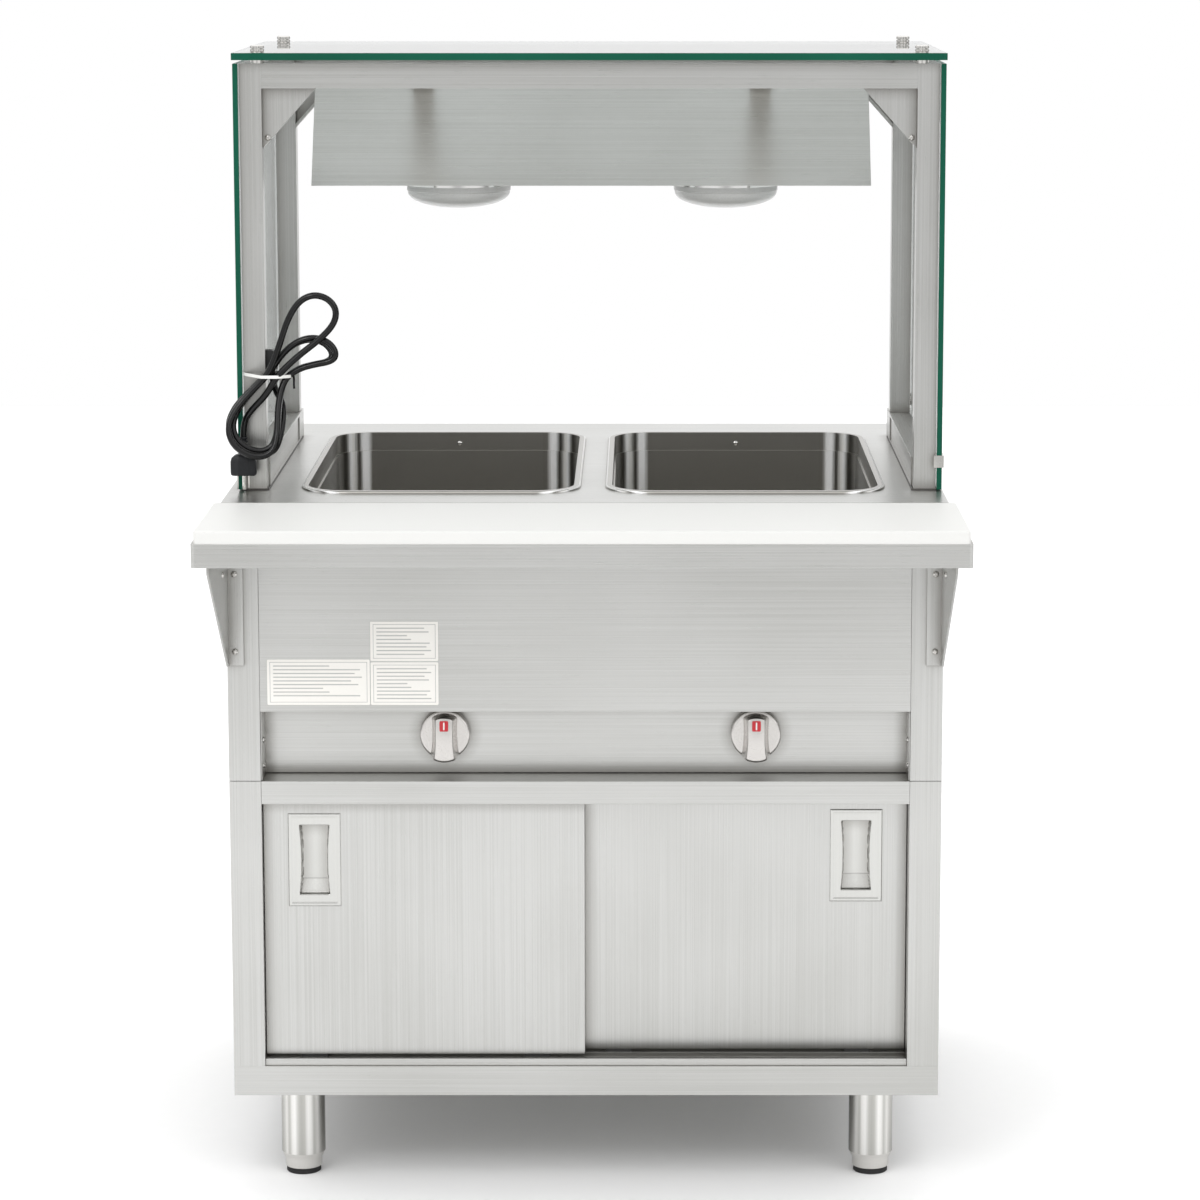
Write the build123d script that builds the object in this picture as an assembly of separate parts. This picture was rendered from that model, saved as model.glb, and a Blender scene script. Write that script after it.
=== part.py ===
from build123d import *
import math
import os

# A two-well gas steam table with sliding-door storage, a work shelf and a glass guard with heat lamps.
# Millimetres, +Z up, front towards -Y, origin on the floor under the middle of the bounding box.

# Cabinet
body_width = 812.0
body_depth = 686.0
leg_clearance = 107.5
apron_height = 34.5
storage_height = 336.0
worktop_height = 800.0
post_width = 36.0
post_seam = 0.6
sheet = 1.2
pan_depth = 20.0
panel_recess = 2.0
fit_gap = 0.3
shelf_front_height = 26.5
shelf_front_return = 11.0

# Legs and feet
leg_diameter = 51.0
leg_wall = 1.5
leg_side_inset = 74.0
leg_inset = 57.0
leg_plate = 84.0
leg_plate_thickness = 3.0
channel_width = 90.0
channel_height = 20.0
tube_bottom = 25.0
collar_bottom = 19.0
collar_taper = 2.5
collar_depth = 38.0
collar_floor = 6.0
foot_diameter = 43.0
foot_height = 46.0
foot_wall = 2.5
foot_stem_radius = 6.0
foot_stem_top = 104.0
foot_travel = 25.0
pad_height = 6.0
pad_radius = 20.0

# Doors
door_thickness = 18.0
front_door_face = 14.0
door_lane_gap = 4.0
door_bottom = 152.5
door_top = 464.0
door_overlap = 16.0
door_meeting_x = -1.5
door_side_gap = 0.8
door_flange = 14.0
track_sheet = 1.2
track_slack = 0.7
track_lip_inset = 2.0
track_lip_height = 8.5
track_fin_bottom = 456.0
glide_length = 30.0
glide_inset = 40.0
glide_slack = 1.2

# Recessed door pulls
pull_plate_width = 60.0
pull_plate_height = 109.0
pull_plate_thickness = 0.8
pull_width = 35.0
pull_height = 82.0
pull_depth = 14.0
pull_wall = 0.8
pull_bow = 2.2
pull_ramp_height = 15.0
pull_from_edge = 58.0
pull_middle_height = 383.0

# Burner bay
control_set_back = 45.0
fascia_bottom = 559.0
knob_height = 525.5
left_knob_x = -161.5
right_knob_x = 195.0
stem_hole_radius = 9.0
fascia_return = 15.0

# Worktop and wells
worktop_sheet = 1.5
worktop_overhang = 4.0
worktop_skirt = 38.0
well_width = 307.0
well_length = 508.0
well_depth = 165.0
well_corner = 48.0
well_floor_fillet = 22.0
well_wall = 1.2
well_step = 2.0
well_step_depth = 20.0
well_pitch = 351.0
well_middle_x = 8.0
well_front = 71.0
well_lip = 8.0
well_lip_height = 3.0
well_cutout_gap = 0.5

# Gas train
burner_radius = 16.0
burner_wall = 2.0
burner_front = 150.0
burner_length = 370.0
mixer_mouth = 112.0
mixer_mouth_radius = 19.0
mixer_throat_radius = 11.0
port_count = 14
port_radius = 1.6
port_angle = 30.0
support_width = 40.0
support_thickness = 3.0
pipe_radius = 13.35
pipe_wall = 2.8
pipe_set_back = 82.0
pipe_drop = 31.0
pipe_bend = 40.0
pipe_before_knob = 68.5
pipe_side_inset = 76.0
pipe_hole_gap = 12.0
inlet_thread_length = 20.0
inlet_thread_depth = 0.6
cradle_from_knob = 73.0
cradle_length = 24.0
cradle_width = 30.0
valve_width = 26.0
valve_height = 26.0
valve_front = 66.0
valve_back = 98.0
valve_boss_radius = 8.0
valve_boss_front = 48.0
valve_spud_radius = 6.0
valve_spud_length = 10.0
stem_radius = 4.0
stem_clearance = 0.05
stem_bore_gap = 0.3
stem_front = 14.0
stem_back = 78.0
knob_radius = 28.5
knob_back = 43.0
knob_base = 12.0
knob_front = 8.0
bar_top_width = 19.0
bar_bottom_width = 24.0
bar_cut = 4.0

# Work shelf
shelf_depth = 209.0
shelf_overhang = 15.0
tray_height = 26.0
tray_sheet = 1.5
tray_return = 15.0
tray_corner = 4.0
board_thickness = 14.0
board_side_inset = 3.0
board_edge = 1.5
bracket_sheet = 2.5
bracket_drop = 147.0
bracket_reach = 196.0
bracket_nose = 10.0
bracket_flange = 19.0

# Screws
screw_head_radius = 3.6
screw_head_height = 2.2
bracket_screw_drops = [42.0, 131.0]
bracket_side_screw_reach = 60.0
bracket_side_screw_drop = 33.0
panel_screw_rises = [14.0, 44.0]
panel_screw_set_back = 20.0
gusset_screw_inset = 6.0
gusset_screw_rise = 12.0

# Glass guard
guard_middle_x = 5.0
guard_side_inset = 9.2
guard_tube = 25.0
guard_wall = 1.2
guard_front = 94.0
guard_rear = 532.0
guard_top = 1287.5
guard_rail_height = 28.0
base_rail_height = 35.0
base_rail_proud = 1.5
base_rail_end = 18.0
base_rail_recess = 1.5
base_rail_seam = 20.0
base_rail_rim = 3.0
gusset_width = 61.0
gusset_height = 68.0
gusset_sheet = 2.5
gusset_flange = 14.0
gusset_setback = 10.0
side_glass_thickness = 6.0
side_glass_gap = 1.0
side_glass_front = 88.0
side_glass_rear = 570.0
side_glass_bottom = 801.5
glass_hole_gap = 0.3
standoff_radius = 7.5
standoff_head = 3.0
standoff_shank = 3.7
standoff_height = 834.0
rear_standoff_rise = 15.0
clamp_wall = 2.0
clamp_lap = 2.5
clamp_depth = 20.0
clamp_height = 14.0
top_glass_thickness = 8.0
top_glass_gap = 4.5
top_glass_side = 7.4
top_glass_front = 75.0
top_glass_depth = 405.0
pin_radius = 8.0
pin_shank = 4.0
pin_head = 8.0
pin_inset = 19.8
rear_pin = 440.0

# Heat lamps
housing_side_gap = 44.3
housing_depth = 200.0
housing_bottom = 1140.5
housing_lean = 0.625
housing_lip = 8.0
hanger_width = 25.0
hanger_thickness = 3.0
hanger_from_lamp = 40.5
lamp_pitch = 319.0
lamp_bottom = 1108.0
lamp_radius = 62.0
lamp_dome = 20.0
lamp_band = 7.0
lamp_shoulder = 38.0
lamp_neck_radius = 17.0
lamp_cap_radius = 13.0
lamp_cap_length = 26.0
lamp_neck_height = 106.0
socket_radius = 19.0
socket_gap = 0.4
socket_length = 44.0

# Lamp cord: gland on the front left guard post, free stretch, tied hank and plug
cord_diameter = 7.5
gland_height = 950.0
gland_length = 22.0
gland_width = 13.0
gland_reach = 13.0
free_route = [(-360.3, 106.5, 918.5), (-343.8, 92.0, 897.0)]
free_end_run = 20.0
waist_x = -352.0
waist_height = 934.5
waist_set_back = 92.5
waist_tilt = 32.0
strand_pitch = 8.6
layer_pitch = 9.2
climb_length = 60.0
lower_tilt = 19.6
lower_lobes = [(92.0, 62.0), (88.0, 50.0), (93.0, 56.0)]
upper_lobes = [(68.0, 25.0, 66.0), (73.0, 27.0, 66.0), (108.0, 50.0, 34.0)]
lower_slope = 0.30
upper_slope = 0.06
slope_blend = 35.0
lobe_power = 1.5
lobe_span_count = 5
hank_start = 0.25
plug_x = -391.5
plug_set_back = 76.0
plug_bottom = 820.0
plug_width = 30.0
plug_thickness = 18.0
plug_height = 24.0
relief_height = 20.0
relief_base_radius = 6.6
relief_top_radius = 5.2
relief_rib_count = 4
blade_length = 16.0
blade_width = 6.4
blade_thickness = 1.5
blade_spacing = 12.7
ground_radius = 2.4
ground_length = 18.0
ground_offset = 11.0
tie_width = 3.5
tie_thickness = 0.6
tie_gap = 0.6
tie_post_gap = 0.2
tie_slack = 3.0

# Levels and planes worked out from the sizes above
apron_top = leg_clearance + apron_height
seam_height = apron_top + storage_height
upper_bottom = seam_height + post_seam
worktop_under = worktop_height - worktop_sheet
front_reach = worktop_overhang + shelf_depth
rear_reach = body_depth + worktop_overhang
front_plane = (front_reach - rear_reach) / 2
half_body = body_width / 2
inner_half = half_body - post_width
opening_half = inner_half - fit_gap
leg_from_middle = half_body - leg_side_inset
shelf_half = half_body + shelf_overhang
guard_half_width = half_body - guard_side_inset
board_bottom = worktop_height - board_thickness
tray_bottom = board_bottom - tray_height
guard_rail_bottom = guard_top - guard_rail_height
guard_inner = guard_half_width - guard_tube
guard_middle = (guard_front + guard_rear + guard_tube) / 2
housing_width = 2 * (guard_inner - housing_side_gap)
hanger_spacing = lamp_pitch + 2 * hanger_from_lamp
pipe_height = knob_height - pipe_drop
pipe_left_x = left_knob_x - pipe_before_knob
pipe_right_x = half_body - pipe_side_inset
cradle_places = [left_knob_x + cradle_from_knob, right_knob_x - cradle_from_knob]
rear_door_face = front_door_face + door_thickness + door_lane_gap
foot_bottom = pad_height
housing_top = guard_rail_bottom
top_glass_bottom = guard_top + top_glass_gap
cord_radius = cord_diameter / 2


def behind(setback):
    """Y of a plane that lies this far behind the cabinet's front."""
    return front_plane + setback


def block(x0, x1, t0, t1, z0, z1):
    """Box between two X values, two set-backs from the cabinet front and two heights."""
    corner = Pos(x0, behind(t0), z0)
    return corner * Box(x1 - x0, t1 - t0, z1 - z0, align=(Align.MIN, Align.MIN, Align.MIN))


def upright(x, t, z0, z1, radius):
    """Vertical cylinder."""
    base = Pos(x, behind(t), z0)
    return base * Cylinder(radius, z1 - z0, align=(Align.CENTER, Align.CENTER, Align.MIN))


def along_y(x, z, t0, t1, radius):
    """Cylinder that runs from front to back."""
    middle = Pos(x, behind((t0 + t1) / 2), z)
    return middle * Rot(90, 0, 0) * Cylinder(radius, t1 - t0)


def along_x(t, z, x0, x1, radius):
    """Cylinder that runs from left to right."""
    middle = Pos((x0 + x1) / 2, behind(t), z)
    return middle * Rot(0, 90, 0) * Cylinder(radius, x1 - x0)


def side_prism(points, x0, x1):
    """Outline of (set-back, height) points, extruded from x0 to x1."""
    corners = [(x0, behind(t), z) for t, z in points]
    face = make_face(Polyline(*corners, close=True))
    return extrude(face, amount=x1 - x0, dir=(1, 0, 0))


def front_prism(points, t0, t1):
    """Outline of (x, height) points, extruded backwards from t0 to t1."""
    corners = [(x, behind(t0), z) for x, z in points]
    face = make_face(Polyline(*corners, close=True))
    return extrude(face, amount=t1 - t0, dir=(0, 1, 0))


def mirrored(shape):
    """The same shape on the other side of the cabinet's middle plane."""
    return mirror(shape, about=Plane.YZ)


def box_tube(x0, x1, t0, t1, z0, z1, wall, cap=0.0):
    """Upright square tube, closed at the top where a cap thickness is given."""
    outer = block(x0, x1, t0, t1, z0, z1)
    top = z1 - cap if cap else z1 + 1
    return outer - block(x0 + wall, x1 - wall, t0 + wall, t1 - wall, z0 - 1, top)


def leg_places():
    """Middle of each leg as (x, set-back), named by corner."""
    rear = body_depth - leg_inset
    return {
        "front_left": (-leg_from_middle, leg_inset),
        "front_right": (leg_from_middle, leg_inset),
        "rear_left": (-leg_from_middle, rear),
        "rear_right": (leg_from_middle, rear),
    }


# Base, legs and feet

def bottom_shelf():
    """Storage floor with its folded apron and inward lips."""
    low, high = leg_clearance, apron_top
    shell = block(-half_body, half_body, 0, body_depth, low, high)
    hollow = half_body - sheet
    shell -= block(-hollow, hollow, sheet, body_depth - sheet, low - 1, high - sheet)
    lip = block(-half_body, half_body, 0, body_depth, low, low + sheet)
    inner = half_body - tray_return
    lip -= block(-inner, inner, tray_return, body_depth - tray_return, low - 1, high)
    return shell + lip


def base_channels():
    """Two U channels under the storage floor that carry the legs."""
    top = apron_top - sheet
    low = top - channel_height
    end = sheet + fit_gap
    channels = []
    for side in (-1, 1):
        middle = side * leg_from_middle
        half = channel_width / 2
        channel = block(middle - half, middle + half, end, body_depth - end, low, top)
        half -= sheet
        channel -= block(middle - half, middle + half, 0, body_depth, low + sheet, top + 1)
        channels.append(channel)
    return channels


def leg_tubes():
    """Four leg tubes, each welded to its mounting plate."""
    plate_top = apron_top - sheet - channel_height
    plate_low = plate_top - leg_plate_thickness
    legs = []
    for x, t in leg_places().values():
        half = leg_plate / 2
        plate = block(x - half, x + half, t - half, t + half, plate_low, plate_top)
        tube = upright(x, t, tube_bottom, plate_low, leg_diameter / 2)
        tube -= upright(x, t, tube_bottom, plate_low, leg_diameter / 2 - leg_wall)
        legs.append(plate + tube)
    return legs


def leg_collars():
    """Tapered collar in the end of each leg, with the nut that takes the foot's stem."""
    outer = leg_diameter / 2
    plug = outer - leg_wall - stem_clearance
    bore = foot_diameter / 2 + fit_gap
    top = tube_bottom + collar_depth
    collars = []
    for x, t in leg_places().values():
        taper_height = tube_bottom - collar_bottom
        taper = Pos(x, behind(t), collar_bottom) * Cone(
            outer - collar_taper, outer, taper_height, align=(Align.CENTER, Align.CENTER, Align.MIN)
        )
        collar = taper + upright(x, t, tube_bottom, top, plug)
        collar -= upright(x, t, collar_bottom - 1, top - collar_floor, bore)
        collar -= upright(x, t, collar_bottom, top + 1, foot_stem_radius + fit_gap)
        collars.append(collar)
    return collars


def foot(x, t):
    """Levelling foot: a cup that slides in the collar and a stem that screws into its nut."""
    radius = foot_diameter / 2
    low = foot_bottom
    high = low + foot_height - pad_height
    cup = upright(x, t, low, high, radius)
    rim = cup.edges().filter_by(GeomType.CIRCLE).sort_by(Axis.Z)[0]
    cup = fillet(rim, foot_wall)
    cup -= upright(x, t, low + 2 * foot_wall, high + 1, radius - foot_wall)
    stem = upright(x, t, low + foot_wall, foot_stem_top, foot_stem_radius)
    return cup + stem


def foot_pad(x, t):
    """Rubber pad under one foot."""
    pad = upright(x, t, 0, pad_height, pad_radius)
    rims = pad.edges().filter_by(GeomType.CIRCLE)
    return chamfer(rims, 0.8)


# Posts and panels

def corner_posts(low, high):
    """Four square corner posts between two heights."""
    posts = []
    for side in (-1, 1):
        for t in (0, body_depth - post_width):
            x0 = min(side * half_body, side * inner_half)
            posts.append(box_tube(x0, x0 + post_width, t, t + post_width, low, high, sheet))
    return posts


def side_pan(low, high):
    """Folded side panel between the left posts."""
    face = -half_body + panel_recess
    front, rear = post_width + fit_gap, body_depth - post_width - fit_gap
    pan = block(face, face + pan_depth, front, rear, low, high)
    hollow = block(face + sheet, half_body, front + sheet, rear - sheet, low + sheet, high - sheet)
    return pan - hollow


def side_panels(side):
    """Lower and upper side panels of one side."""
    pans = [side_pan(apron_top, seam_height), side_pan(upper_bottom, worktop_under)]
    return pans if side < 0 else [mirrored(pan) for pan in pans]


def back_pan(low, high):
    """Folded back panel between the rear posts."""
    face = body_depth - panel_recess
    pan = block(-opening_half, opening_half, face - pan_depth, face, low, high)
    inner = opening_half - sheet
    return pan - block(-inner, inner, 0, face - sheet, low + sheet, high - sheet)


def back_panels():
    """Lower and upper back panels, the upper one with room round the gas inlet for a coupling."""
    upper = back_pan(upper_bottom, worktop_under)
    upper -= along_y(pipe_right_x, pipe_height, body_depth / 2, body_depth + 1, pipe_radius + pipe_hole_gap)
    return [back_pan(apron_top, seam_height), upper]


def middle_shelf():
    """Shelf between storage and burner bay; its folded front edge is the rail above the doors."""
    low = seam_height - sheet
    rear = body_depth - panel_recess - pan_depth - fit_gap
    wing = half_body - panel_recess - pan_depth - fit_gap
    wing_front = post_width + fit_gap
    deck = block(-opening_half, opening_half, 0, rear, low, seam_height)
    deck += block(-wing, wing, wing_front, body_depth - wing_front, low, seam_height) - block(
        -wing, wing, rear, body_depth, low - 1, seam_height + 1
    )
    rail_low = seam_height - shelf_front_height
    deck += block(-opening_half, opening_half, 0, sheet, rail_low, seam_height)
    deck += block(-opening_half, opening_half, 0, shelf_front_return, rail_low, rail_low + sheet)
    return deck


def control_panel():
    """Recessed panel that the valve stems pass through, with side flanges along the posts."""
    low = upper_bottom
    face = control_set_back
    panel = block(-opening_half, opening_half, face, face + sheet, low, fascia_bottom + fascia_return)
    for side in (-1, 1):
        x0 = min(side * opening_half, side * (opening_half - sheet))
        panel += block(x0, x0 + sheet, sheet, face, low, fascia_bottom - fit_gap)
    for x in (left_knob_x, right_knob_x):
        panel -= along_y(x, knob_height, face - 1, face + sheet + 1, stem_hole_radius)
    return panel


def front_panel():
    """Fascia above the recess, folded back to the control panel at its foot."""
    low, high = fascia_bottom, worktop_under
    face = block(-opening_half, opening_half, 0, sheet, low, high)
    soffit = block(-opening_half, opening_half, 0, control_set_back - fit_gap, low, low + sheet)
    lip = block(-opening_half, opening_half, 0, fascia_return, high - sheet, high)
    return face + soffit + lip


# Sliding doors

def lane(face):
    """Front and rear limits of the slot that a door with this face runs in."""
    return face - track_slack, face + door_thickness + track_slack


def door_tracks():
    """Bottom track on the storage floor and top track under the middle shelf."""
    half = opening_half
    front0, front1 = lane(front_door_face)
    rear0, rear1 = lane(rear_door_face)
    back = rear1 + track_sheet
    lip_top = apron_top + track_lip_height
    low = block(-half, half, track_lip_inset, back, apron_top, apron_top + track_sheet)
    low += block(-half, half, track_lip_inset, track_lip_inset + track_sheet, apron_top, lip_top)
    for t0, t1 in ((front0 - track_sheet, front0), (front1, rear0), (rear1, back)):
        low += block(-half, half, t0, t1, apron_top, lip_top - track_sheet)
    under = seam_height - sheet
    high = block(-half, half, front0 - track_sheet, back, under - track_sheet, under)
    for t0, t1 in ((front0 - track_sheet, front0), (front1, rear0), (rear1, back)):
        high += block(-half, half, t0, t1, track_fin_bottom, under)
    return [low, high]


def door_span(name):
    """Left edge, right edge, face set-back and pull centre of a door."""
    edge = inner_half - door_side_gap
    if name == "left":
        return -edge, door_meeting_x, front_door_face, -edge + pull_from_edge
    return door_meeting_x - door_overlap, edge, rear_door_face, edge - pull_from_edge


def pull_outline(middle, t, width, height, bow):
    """Upright oblong whose long sides bow inwards."""
    y = behind(t)
    left, right = middle - width / 2, middle + width / 2
    low = pull_middle_height - height / 2
    high = pull_middle_height + height / 2
    edges = [
        Line((left, y, high), (right, y, high)),
        ThreePointArc((right, y, high), (right - bow, y, pull_middle_height), (right, y, low)),
        Line((right, y, low), (left, y, low)),
        ThreePointArc((left, y, low), (left + bow, y, pull_middle_height), (left, y, high)),
    ]
    return make_face(Wire(edges))


def door(name):
    """Folded door pan with the opening for its pull."""
    x0, x1, face, pull = door_span(name)
    back = face + door_thickness
    pan = block(x0, x1, face, back, door_bottom, door_top)
    pan -= block(
        x0 + sheet, x1 - sheet, face + sheet, back - sheet, door_bottom + sheet, door_top - sheet
    )
    rim = door_flange
    pan -= block(x0 + rim, x1 - rim, back - 2 * sheet, back + 1, door_bottom + rim, door_top - rim)
    half_width = pull_width / 2 + pull_wall + fit_gap
    half_height = pull_height / 2 + pull_wall + fit_gap
    pan -= block(
        pull - half_width, pull + half_width, face - 1, face + 2 * sheet,
        pull_middle_height - half_height, pull_middle_height + half_height,
    )
    return pan


def door_pull(name):
    """Pressed pull: a thin plate on the door's face and a cup let into the door."""
    _, _, face, pull = door_span(name)
    half_width, half_height = pull_plate_width / 2, pull_plate_height / 2
    low, high = pull_middle_height - half_height, pull_middle_height + half_height
    plate = block(pull - half_width, pull + half_width, face - pull_plate_thickness, face, low, high)
    plate = chamfer(plate.edges().filter_by(Axis.Y), 1.0)
    floor = face + pull_depth
    cup_width, cup_height = pull_width + 2 * pull_wall, pull_height + 2 * pull_wall
    mouth = pull_outline(pull, face, cup_width, cup_height, pull_bow)
    cup = extrude(mouth, amount=pull_depth, dir=(0, 1, 0))
    hollow_face = pull_outline(pull, face - 1, pull_width, pull_height, pull_bow)
    hollow = extrude(hollow_face, amount=pull_depth + 1 - pull_wall, dir=(0, 1, 0))
    foot_low = pull_middle_height - pull_height / 2
    ramp = [
        (face + pull_wall, foot_low - pull_wall),
        (floor, foot_low - pull_wall),
        (floor, foot_low + pull_ramp_height),
        (floor - pull_wall, foot_low + pull_ramp_height),
    ]
    wedge = side_prism(ramp, pull - pull_width / 2, pull + pull_width / 2)
    return plate + cup - hollow + (wedge & cup)


def door_glides(name):
    """Nylon blocks that run in the tracks: two under the door and two on top."""
    x0, x1, face, _ = door_span(name)
    front, back = face + glide_slack, face + door_thickness - glide_slack
    floor = apron_top + track_sheet + fit_gap
    ceiling = seam_height - sheet - track_sheet - fit_gap
    glides = []
    for start in (x0 + glide_inset, x1 - glide_inset - glide_length):
        end = start + glide_length
        glides.append(block(start, end, front, back, floor, door_bottom))
        glides.append(block(start, end, front, back, door_top, ceiling))
    return glides


# Worktop and wells

def rounded(middle_x, middle_t, width, length, corner, z):
    """Horizontal rounded rectangle."""
    return Pos(middle_x, behind(middle_t), z) * RectangleRounded(width, length, corner)


def well_middle(side):
    """X of a well's middle, side -1 for the left one."""
    return well_middle_x + side * well_pitch / 2


def countertop():
    """Worktop sheet with its folded skirt and the two cut-outs."""
    half = half_body + worktop_overhang
    low = worktop_height - worktop_skirt
    rear = body_depth + worktop_overhang
    top = block(-half, half, -worktop_overhang, rear, low, worktop_height)
    inner = half - worktop_sheet
    top -= block(
        -inner, inner, worktop_sheet - worktop_overhang, rear - worktop_sheet, low - 1, worktop_under
    )
    grow = 2 * (well_wall + well_cutout_gap)
    middle = well_front + well_length / 2
    for side in (-1, 1):
        hole = rounded(
            well_middle(side), middle, well_width + grow, well_length + grow,
            well_corner + grow / 2, worktop_under - 1,
        )
        top -= extrude(hole, amount=worktop_sheet + 2, dir=(0, 0, 1))
    return top


def well(side):
    """Pressed well: raised lip, straight collar, small step and a deep body with a round floor."""
    x = well_middle(side)
    middle = well_front + well_length / 2
    top, step, floor = worktop_height, worktop_height - well_step_depth, worktop_height - well_depth

    def slab(grow, low, high):
        corner = well_corner + grow
        outline = rounded(x, middle, well_width + 2 * grow, well_length + 2 * grow, corner, low)
        return extrude(outline, amount=high - low, dir=(0, 0, 1))

    lip = slab(well_lip, top, top + well_lip_height)
    lip = fillet(lip.faces().sort_by(Axis.Z)[-1].edges(), well_lip_height - 0.5)
    body = slab(well_wall - well_step, floor, step)
    body = fillet(body.faces().sort_by(Axis.Z)[0].edges(), well_floor_fillet + well_wall)
    cavity = slab(-well_step, floor + well_wall, step)
    cavity = fillet(cavity.faces().sort_by(Axis.Z)[0].edges(), well_floor_fillet)
    collar = slab(well_wall, step - well_wall, top)
    throat = slab(0, step, top + well_lip_height + 1)
    neck = slab(-well_step, step - 2 * well_wall, step + 1)
    return lip + collar + body - cavity - neck - throat


# Gas train

def burner(x):
    """Tube burner under one well, with its flared mixer and two rows of ports."""
    z = knob_height
    back = burner_front + burner_length
    tube = along_y(x, z, burner_front, back, burner_radius)
    tube -= along_y(x, z, burner_front - 1, back - burner_wall, burner_radius - burner_wall)
    length = burner_front - mixer_mouth
    middle = Pos(x, behind(mixer_mouth + length / 2), z) * Rot(-90, 0, 0)
    mixer = middle * Cone(mixer_mouth_radius, burner_radius, length)
    throat = middle * Cone(mixer_mouth_radius - burner_wall, mixer_throat_radius, length)
    shell = tube + (mixer - throat)
    spacing = burner_length / (port_count + 1)
    for row in (-port_angle, port_angle):
        for count in range(port_count):
            t = burner_front + spacing * (count + 1)
            turn = Pos(x, behind(t), z) * Rot(0, row, 0)
            shell -= turn * Pos(0, 0, burner_radius) * Cylinder(port_radius, 3 * burner_wall)
    return shell


def burner_supports():
    """Pieces on the middle shelf that carry the burners and the gas pipe."""
    plates = [pipe_cradle(x) for x in cradle_places]
    for x in (left_knob_x, right_knob_x):
        for t in (burner_front + support_width, burner_front + burner_length - support_width):
            half = support_width / 2
            top = knob_height - burner_radius / 2
            plate = block(x - half, x + half, t, t + support_thickness, seam_height, top)
            saddle = along_y(x, knob_height, t - 1, t + support_thickness + 1, burner_radius + fit_gap)
            plates.append(plate - saddle)
    return plates


def pipe_cradle(x):
    """Block on the middle shelf with a saddle for the pipe."""
    half, deep = cradle_length / 2, cradle_width / 2
    t = pipe_set_back
    cradle = block(x - half, x + half, t - deep, t + deep, seam_height, pipe_height)
    return cradle - along_x(t, pipe_height, x - half - 1, x + half + 1, pipe_radius + fit_gap)


def gas_manifold():
    """Pipe behind the control panel that turns back and ends in the threaded rear gas inlet."""
    start = (pipe_left_x, behind(pipe_set_back), pipe_height)
    corner = (pipe_right_x, behind(pipe_set_back), pipe_height)
    end = (pipe_right_x, behind(rear_reach), pipe_height)
    path = FilletPolyline(start, corner, end, radius=pipe_bend)
    plane = Plane(origin=start, z_dir=(1, 0, 0))
    outer = sweep(plane * Circle(pipe_radius), path=path)
    inner = sweep(plane * Circle(pipe_radius - pipe_wall), path=path)
    cap = along_x(pipe_set_back, pipe_height, pipe_left_x, pipe_left_x + pipe_wall, pipe_radius)
    pipe = (outer - inner) + cap
    thread_start = rear_reach - inlet_thread_length
    blank = along_y(pipe_right_x, pipe_height, thread_start, rear_reach + 1, pipe_radius + 1)
    core_radius = pipe_radius - inlet_thread_depth
    core = along_y(pipe_right_x, pipe_height, thread_start - 1, rear_reach + 2, core_radius)
    return pipe - (blank - core)


def gas_valves():
    """Brass valve on the manifold behind each knob, with its spud towards the burner."""
    valves = []
    for x in (left_knob_x, right_knob_x):
        half, rise = valve_width / 2, valve_height / 2
        body = block(x - half, x + half, valve_front, valve_back, pipe_height, knob_height + rise)
        bore = pipe_radius + stem_clearance
        body -= along_x(pipe_set_back, pipe_height, x - half - 1, x + half + 1, bore)
        low = pipe_height + pipe_radius / 2
        body -= block(x - half - 1, x + half + 1, valve_front - 1, valve_back + 1, pipe_height - 1, low)
        body += along_y(x, knob_height, valve_boss_front, valve_front, valve_boss_radius)
        body += along_y(x, knob_height, valve_back, valve_back + valve_spud_length, valve_spud_radius)
        bore_end = stem_back + fit_gap
        body -= along_y(x, knob_height, valve_boss_front - 1, bore_end, stem_radius + stem_bore_gap)
        valves.append(body)
    return valves


def valve_stem(x):
    """Stem that joins a knob to its valve."""
    return along_y(x, knob_height, stem_front, stem_back, stem_radius)


def knob(x):
    """Round skirt with a raised bar across it that widens towards its foot."""
    skirt = along_y(x, knob_height, knob_back - knob_base, knob_back, knob_radius)
    skirt = fillet(skirt.edges().filter_by(GeomType.CIRCLE).sort_by(Axis.Y)[0], 2.5)
    top, low = knob_height + knob_radius - bar_cut, knob_height - knob_radius
    outline = [
        (x - bar_top_width / 2, top),
        (x + bar_top_width / 2, top),
        (x + bar_bottom_width / 2, low),
        (x - bar_bottom_width / 2, low),
    ]
    bar = front_prism(outline, knob_front, knob_back - knob_base + 1)
    bar = fillet(bar.faces().sort_by(Axis.Y)[0].edges(), 2.0)
    bar &= along_y(x, knob_height, knob_front - 1, knob_back, knob_radius - 0.6)
    bore = along_y(x, knob_height, stem_front, knob_back + 1, stem_radius + stem_clearance)
    return skirt + bar - bore


# Work shelf

def board_tray():
    """Steel shelf pan under the board, with folded sides and inward lips."""
    half = shelf_half
    front, back = -front_reach, -worktop_overhang
    pan = block(-half, half, front, back, tray_bottom, board_bottom)
    corners = pan.edges().filter_by(Axis.Z).sort_by(Axis.Y)[:2]
    pan = fillet(corners, tray_corner)
    inner = half - tray_sheet
    pan -= block(
        -inner, inner, front + tray_sheet, back - tray_sheet,
        tray_bottom + tray_sheet, board_bottom - tray_sheet,
    )
    mouth = half - tray_return
    ceiling = board_bottom - 2 * tray_sheet
    return pan - block(-mouth, mouth, front + tray_return, back - tray_return, tray_bottom - 1, ceiling)


def cutting_board():
    """White plastic board that lies on the tray."""
    half = shelf_half - board_side_inset
    front = -front_reach + 0.5
    board = block(-half, half, front, -worktop_overhang - 0.5, board_bottom, worktop_height)
    board = fillet(board.edges().filter_by(Axis.Z), tray_corner)
    return fillet(board.faces().sort_by(Axis.Z)[-1].edges(), board_edge)


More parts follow.
